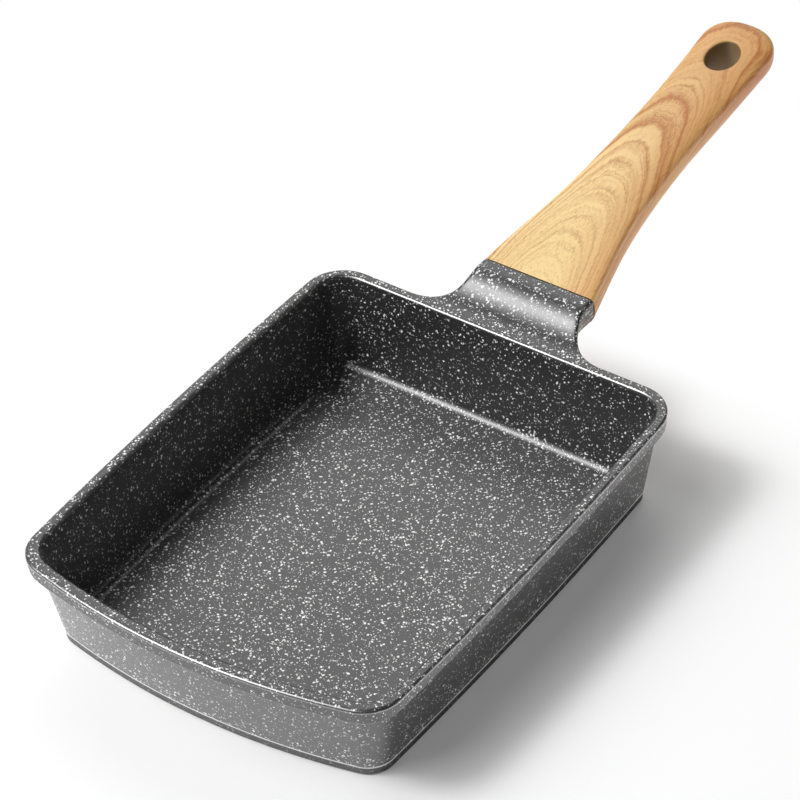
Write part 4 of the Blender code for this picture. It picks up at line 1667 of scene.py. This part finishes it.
    def _block(self, shares: Sequence[float], centre: float, along: float, side: float,
               under: bool) -> tuple[list[int], list[int]]:
        """Pick the points of the outside round an opening.

        Args:
            shares: Where the cross-sections are.
            centre: The opening's middle, as a share of the length.
            along: How far the block reaches along the grip, each way.
            side: How far it reaches across, each way.
            under: Whether the opening is in the underside.

        Returns:
            The numbers of the cross-sections, and those of their points.
        """
        rows = [i for i, share in enumerate(shares) if abs(share - centre) < along / self.axis.length]
        columns = [j for j, (x, _) in enumerate(self.section(centre))
                   if abs(x) < side and (j > self.around_steps) == under]
        return rows, columns

    def mesh(self) -> bpy.types.Mesh:
        """Build the grip's outside with its hanging hole and screw well, and its film coordinates.

        Returns:
            The mesh.
        """
        maker = MeshMaker()
        film = maker.shape.loops.layers.uv.new("film")
        shares = self.shares()
        rows = []
        for number, share in enumerate(shares):
            shrink = {0: self.end_round, 1: self.end_middle[1] * self.end_round}.get(number, 0.0)
            half = self.sizes(share)[0]
            factor = (half - shrink) / half
            rows.append(maker.ring([self.place(share, x * factor, z * factor)
                                    for x, z in self.section(share)]))
        hang, well = 1 - self.hang_setback / self.axis.length, self._well_share()
        hang_reach = (self.hang_half[1] + self.hang_flare + self.hang_spare,
                      self.hang_half[0] + self.hang_flare + self.block_spare)
        hang_rows, top_columns = self._block(shares, hang, *hang_reach, False)
        under_columns = self._block(shares, hang, *hang_reach, True)[1]
        spare = (len(under_columns) - len(top_columns)) // 2
        under_columns = under_columns[max(spare, 0):len(under_columns) - max(spare, 0)]
        top_columns = top_columns[max(-spare, 0):len(top_columns) - max(-spare, 0)]
        well_reach = self.well_radius + self.well_flare
        blocks = [(hang_rows, top_columns), (hang_rows, under_columns),
                  self._block(shares, well, well_reach + self.well_spare, well_reach + self.block_spare,
                              True)]

        def inside(row: int, column: int) -> bool:
            """Whether a face lies in a block that gets an opening."""
            return any(r[0] <= row < r[-1] and c[0] <= column < c[-1] for r, c in blocks)

        for i, (low, high) in enumerate(zip(rows, rows[1:])):
            maker.skin(low, high, skip=lambda k, i=i: inside(i, k))
        maker.cap(rows[0], 1)
        maker.cap(rows[-1])
        upper, lower, mouth = (self._border(rows, *block) for block in blocks)
        self._hanging_hole(maker, upper, lower, hang)
        self._screw_well(maker, mouth, well)
        self._lay_film(maker, film)
        for vert in maker.shape.verts:
            vert.co.y = min(vert.co.y, self.farthest)
        return maker.finish("handle_grip_looks")

    def _well_share(self) -> float:
        """Find where the screw's axis leaves the underside.

        Returns:
            The place, as a share of the length.
        """
        place = self.tang.screw_frame()
        origin, direction = place.translation, -place.col[2].to_3d()
        share = (origin.y - self.axis.start[0]) / self.axis.length
        for _ in range(self.well_rounds):
            under = self.place(share, 0.0, self.under_rise(share, 0.0))
            meeting = origin + direction * (under - origin).dot(direction)
            share += (meeting.y - under.y) / self.axis.length
        return share

    @staticmethod
    def _border(rows: list[Ring], picked: list[int], columns: list[int]) -> Ring:
        """The border of a block of the outside.

        Args:
            rows: The cross-sections' points.
            picked: The numbers of the block's cross-sections.
            columns: The numbers of their points in the block.

        Returns:
            The points round it, starting at its first corner.
        """
        first, last, left, right = picked[0], picked[-1], columns[0], columns[-1]
        border = [rows[first][j] for j in range(left, right)]
        border += [rows[i][right] for i in range(first, last)]
        border += [rows[last][j] for j in range(right, left, -1)]
        border += [rows[i][left] for i in range(last, first, -1)]
        return border

    def _film_place(self, point: Vector) -> Point2:
        """Find a point's place on the film.

        Args:
            point: A point on or near the outside.

        Returns:
            Its share of the length and its place across.
        """
        share = (point.y - self.axis.start[0]) / self.axis.length
        for _ in range(3):
            (y, z), tilt = self.axis.at(share)
            rise = (point.z - z) / math.cos(tilt)
            share += (point.y - (y - math.sin(tilt) * rise)) / self.axis.length
        return share, point.x

    def _hanging_hole(self, maker: MeshMaker, upper: Ring, lower: Ring, centre: float) -> None:
        """Close the outside round the hanging hole and line the hole.

        Args:
            maker: Takes the points and faces.
            upper: The border of the opening in the upper face.
            lower: The border of the opening in the underside.
            centre: The share of the length at the hole's middle.
        """
        top, bottom = (self._collar(maker, border, centre, self.hang_half, self.hang_flare, side, 4)
                       for border, side in ((upper, -1), (self._match(upper, lower), 1)))
        lining = [maker.ring([a.co.lerp(b.co, step / self.lining_steps) for a, b in zip(top, bottom)])
                  for step in range(1, self.lining_steps)]
        maker.sleeve([top, *lining, bottom], 1)

    @staticmethod
    def _match(upper: Ring, lower: Ring) -> Ring:
        """Order the lower border so that each point lies under the upper border's point.

        Args:
            upper: The upper border.
            lower: The lower border.

        Returns:
            The lower border, turned round and flipped as needed.
        """
        if len(upper) != len(lower):
            raise ValueError(f"the hole's two borders differ: {len(upper)} and {len(lower)} points")
        best = None
        for order in (lower, lower[::-1]):
            for shift in range(len(lower)):
                turned = order[shift:] + order[:shift]
                miss = sum((a.co.xy - b.co.xy).length for a, b in zip(upper[::7], turned[::7]))
                if best is None or miss < best[0]:
                    best = (miss, turned)
        return best[1]

    def _collar(self, maker: MeshMaker, border: Ring, centre: float, half: Point2,
                flare: float, side: int, bare: int) -> Ring:
        """Close the outside from a border inwards to an oval opening with a rounded edge.

        Args:
            maker: Takes the points and faces.
            border: The border on the outside.
            centre: The share of the length at the opening's middle.
            half: The opening's half width and half length.
            flare: The radius of its rounded edge.
            side: -1 when the opening is in the upper face, 1 when it is in the underside.
            bare: How many steps of the edge show the moulding.

        Returns:
            The points round the opening.
        """
        length = self.axis.length / math.cos(self.axis.at(centre)[1])
        rise = self.under_rise if side > 0 else self.top_rise

        def on_face(x: float, along: float, into: float = 0.0) -> Vector:
            """A point of the outside, or one sunk under it."""
            at = centre + along / length
            return self.place(at, x, rise(at, x) + side * into)

        spots = []
        for vert in border:
            share, x = self._film_place(vert.co)
            spots.append(((share - centre) * length, x))
        wide = (half[0] + flare, half[1] + flare)
        angles = [math.atan2(along / wide[1], x / wide[0]) for along, x in spots]
        rings = [border]
        for step in range(1, self.collar_steps):
            share = step / self.collar_steps
            rings.append(maker.ring([
                on_face(blend(x, wide[0] * math.cos(a), share), blend(along, wide[1] * math.sin(a), share))
                for (along, x), a in zip(spots, angles)]))
        for step in range(self.flare_steps + 1):
            turn = math.pi / 2 * step / self.flare_steps
            grow, into = flare * (1 - math.sin(turn)), flare * (1 - math.cos(turn))
            oval = (half[0] + grow, half[1] + grow)
            rings.append(maker.ring([on_face(oval[0] * math.cos(a), oval[1] * math.sin(a), into)
                                     for a in angles]))
        maker.sleeve(rings[:-bare])
        maker.sleeve(rings[-bare - 1:], 1)
        return rings[-1]

    def _screw_well(self, maker: MeshMaker, border: Ring, centre: float) -> None:
        """Close the underside round the screw's well and line the well down to its seat and bore.

        Args:
            maker: Takes the points and faces.
            border: The border of the opening in the underside.
            centre: The share of the length at its middle.
        """
        wide, narrow = self.well_radius, self.tang.bore_radius
        edge = self._collar(maker, border, centre, (wide, wide), self.well_flare, 1, 3)
        place = self.tang.screw_frame()
        back = place.inverted()
        angles = [math.atan2(*(back @ vert.co).yx) for vert in edge]
        floor = -self.tang.thickness / 2
        seat = floor - self.gap - self.seat_thickness
        rings = [edge]
        for radius, level in ((wide, seat - self.well_step), (wide, seat), (narrow, seat), (narrow, floor)):
            rings.append(maker.ring([place @ Vector((radius * math.cos(a), radius * math.sin(a), level))
                                     for a in angles]))
        maker.sleeve(rings, 1)
        maker.cap(rings[-1], 1)

    def _lay_film(self, maker: MeshMaker, film: bmesh.types.BMLayerItem) -> None:
        """Give each corner its distance along the grip and its distance round it from the top line.

        Args:
            maker: Holds the grip's faces.
            film: The UV layer to fill.
        """
        for face in maker.shape.faces:
            middle = face.calc_center_median()
            for loop in face.loops:
                share, x = self._film_place(loop.vert.co)
                half, crown, _ = self.sizes(clamp(share))
                (_, z), tilt = self.axis.at(share)
                down = max(crown - (loop.vert.co.z - z) / math.cos(tilt), 0.0)
                sign = 1.0 if (x if abs(x) > 1e-5 else middle.x) >= 0 else -1.0
                over = max(down - (crown - self.top_rise(clamp(share), x)), 0.0) if half > 0 else 0.0
                loop[film].uv = (share * self.axis.length, sign * (abs(x) + over))

    def build(self) -> bpy.types.Object:
        """Cut the socket and put the grip in the scene.

        Returns:
            The piece.
        """
        outside, socket = self.mesh(), self.tang.bar("socket", self.gap)
        for mesh in (outside, socket):
            for material in (self.film, self.core):
                mesh.materials.append(material)
        for face in socket.polygons:
            face.material_index = 1
        grip = cut(outside, [(socket, "DIFFERENCE")])
        return dress("handle_grip", grip, [self.film, self.core], self.crease)


# The studio

@dataclass(frozen=True)
class Lamp:
    """A soft rectangular panel of light that faces the pan."""

    name: str
    direction: Point3
    distance: float
    size: Point2
    power: float
    mirrored: bool = True

    def place(self, aim: Vector) -> None:
        """Put it in the scene.

        Args:
            aim: The point that it faces, from which its direction and distance count.
        """
        data = bpy.data.lights.new(self.name, "AREA")
        data.shape = "RECTANGLE"
        data.size, data.size_y = self.size
        data.energy = self.power
        made = add_object(self.name, data)
        made.visible_glossy = self.mirrored
        away = Vector(self.direction).normalized()
        made.matrix_world = (Matrix.Translation(aim + away * self.distance)
                             @ away.to_track_quat("Z", "Y").to_matrix().to_4x4())


@dataclass
class Studio:
    """Floor, lights and camera.

    For the camera the floor's paper glows a little, and fades to white far from the pan and behind it, as the
    photograph's cut-out backdrop does. In reflections it is white from a little way off.
    """

    camera_place: Point3 = (0.71631256, -0.96350297, 1.08033202)
    camera_axes: tuple[Point3, ...] = (
        (0.82644312, 0.56197078, -0.03435996), (-0.3410543, 0.54824864, 0.76361338),
        (0.44796621, -0.61936441, 0.64475887))
    lens: float = 225.0
    sensor: float = 36.0
    clip_start: float = 0.05
    aim: Point3 = (0.0, 0.03, 0.02)
    sheet_size: float = 12.0
    sheet_drop: float = 0.0002
    lit_paper: Colour = (1.8, 1.8, 1.8)
    paper_glow: float = 0.13
    far_fade: Point2 = (0.13, 0.28)
    behind_fade: Point2 = (0.105, 0.140)
    mirror_fade: Point2 = (0.17, 0.50)
    room_light: float = 0.02
    lamps: tuple[Lamp, ...] = (
        Lamp("key_panel", (-0.45, -0.45, 0.77), 2.6, (0.70, 0.70), 30.0),
        Lamp("wide_panel", (-0.45, -0.45, 0.77), 2.75, (2.4, 2.4), 55.0),
        Lamp("rear_panel", (-0.45, 0.62, 0.645), 2.6, (2.4, 1.6), 22.0),
        Lamp("right_panel", (0.90, 0.30, 0.11), 2.6, (1.4, 0.35), 19.0, mirrored=False),
        Lamp("side_panel", (0.645, 0.619, 0.448), 2.6, (0.35, 0.35), 1.0))

    def camera(self) -> None:
        """Place the camera where the photograph was taken from."""
        data = bpy.data.cameras.new("camera")
        data.sensor_width = self.sensor
        data.lens = self.lens
        data.clip_start = self.clip_start
        made = add_object("camera", data)
        turn = Matrix(self.camera_axes).transposed().to_4x4()
        made.matrix_world = Matrix.Translation(self.camera_place) @ turn
        bpy.context.scene.camera = made

    def floor(self) -> None:
        """Lay a plain white sheet that keeps the pan's shadow."""
        maker, size = MeshMaker(), self.sheet_size
        corners = ((-1, -1), (1, -1), (1, 1), (-1, 1))
        maker.cap(maker.ring([(size * x, size * y, 0.0) for x, y in corners]))
        made = add_object("floor_sheet", maker.finish("floor_sheet"))
        made.location.z = -self.sheet_drop
        tree = ShaderTree("floor_paper")
        camera = tree.node("ShaderNodeLightPath", {}, {}, "Is Camera Ray")
        glossy = Value(tree, camera.socket.node.outputs["Is Glossy Ray"])
        shade = tree.node("ShaderNodeBsdfDiffuse", {}, {"Color": tree.mix(glossy, WHITE, self.lit_paper)})
        white = tree.node("ShaderNodeEmission", {}, {"Color": WHITE, "Strength": 1.0})
        place = tree.place()
        radius = tree.radius(place)
        clear = radius.step(*self.far_fade).larger(tree.axis(place, "Y").step(*self.behind_fade))
        glow = camera * (self.paper_glow + (1.0 - self.paper_glow) * clear)
        glow = glow + glossy * radius.step(*self.mirror_fade)
        paper = tree.node("ShaderNodeMixShader", {}, {0: glow, 1: shade, 2: white})
        made.data.materials.append(tree.finished(paper))

    def world(self) -> None:
        """Make a dim even room that shows white behind the floor."""
        world = bpy.data.worlds.new("room")
        bpy.context.scene.world = world
        world.use_nodes = True
        world.node_tree.nodes.clear()
        tree = NodeTree(world.node_tree)
        camera = tree.node("ShaderNodeLightPath", {}, {}, "Is Camera Ray")
        dim, white = (tree.node("ShaderNodeBackground", {}, {"Color": WHITE, "Strength": strength})
                      for strength in (self.room_light, 1.0))
        mixed = tree.node("ShaderNodeMixShader", {}, {0: camera, 1: dim, 2: white})
        tree.end("ShaderNodeOutputWorld", "Surface", mixed)

    def build(self) -> None:
        """Set the whole studio up."""
        self.camera()
        self.floor()
        self.world()
        for lamp in self.lamps:
            lamp.place(Vector(self.aim))
        bpy.context.scene.view_settings.view_transform = "Standard"


def main() -> None:
    """Build every piece in order."""
    logging.basicConfig(level=logging.INFO, format="%(name)s: %(message)s")
    stud_metal = BareMetal("turned_aluminium", (0.72, 0.72, 0.73), 0.34, Lay.TURNED).material()
    neck, axis = Neck(), GripAxis()
    body, tang = PanBody(StoneFleckCoating().material(), stud_metal, neck), Tang(axis)
    plate = BasePlate(BareMetal("rolled_stainless", (0.60, 0.59, 0.57), 0.36, Lay.TURNED, 0.0004).material())
    body.build(tang, plate.studs(body))
    plate.build(body)
    Grip(WoodFilm().material(), MouldedCore().material(), axis, tang, neck).build()
    zinc = BareMetal("zinc_plate", (0.66, 0.67, 0.68), 0.30, Lay.ROLLED).material()
    dark = BareMetal("spring_steel", (0.34, 0.34, 0.35), 0.38, Lay.ROLLED).material()
    for name, material in (("handle_screw", zinc), ("plain_washer", zinc), ("spring_washer", dark)):
        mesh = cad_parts[name].data
        for i in range(len(mesh.materials)):
            mesh.materials[i] = material
        log.info("%s: packed solid, dressed", name)
    Studio().build()


if __name__ == "__main__":
    main()
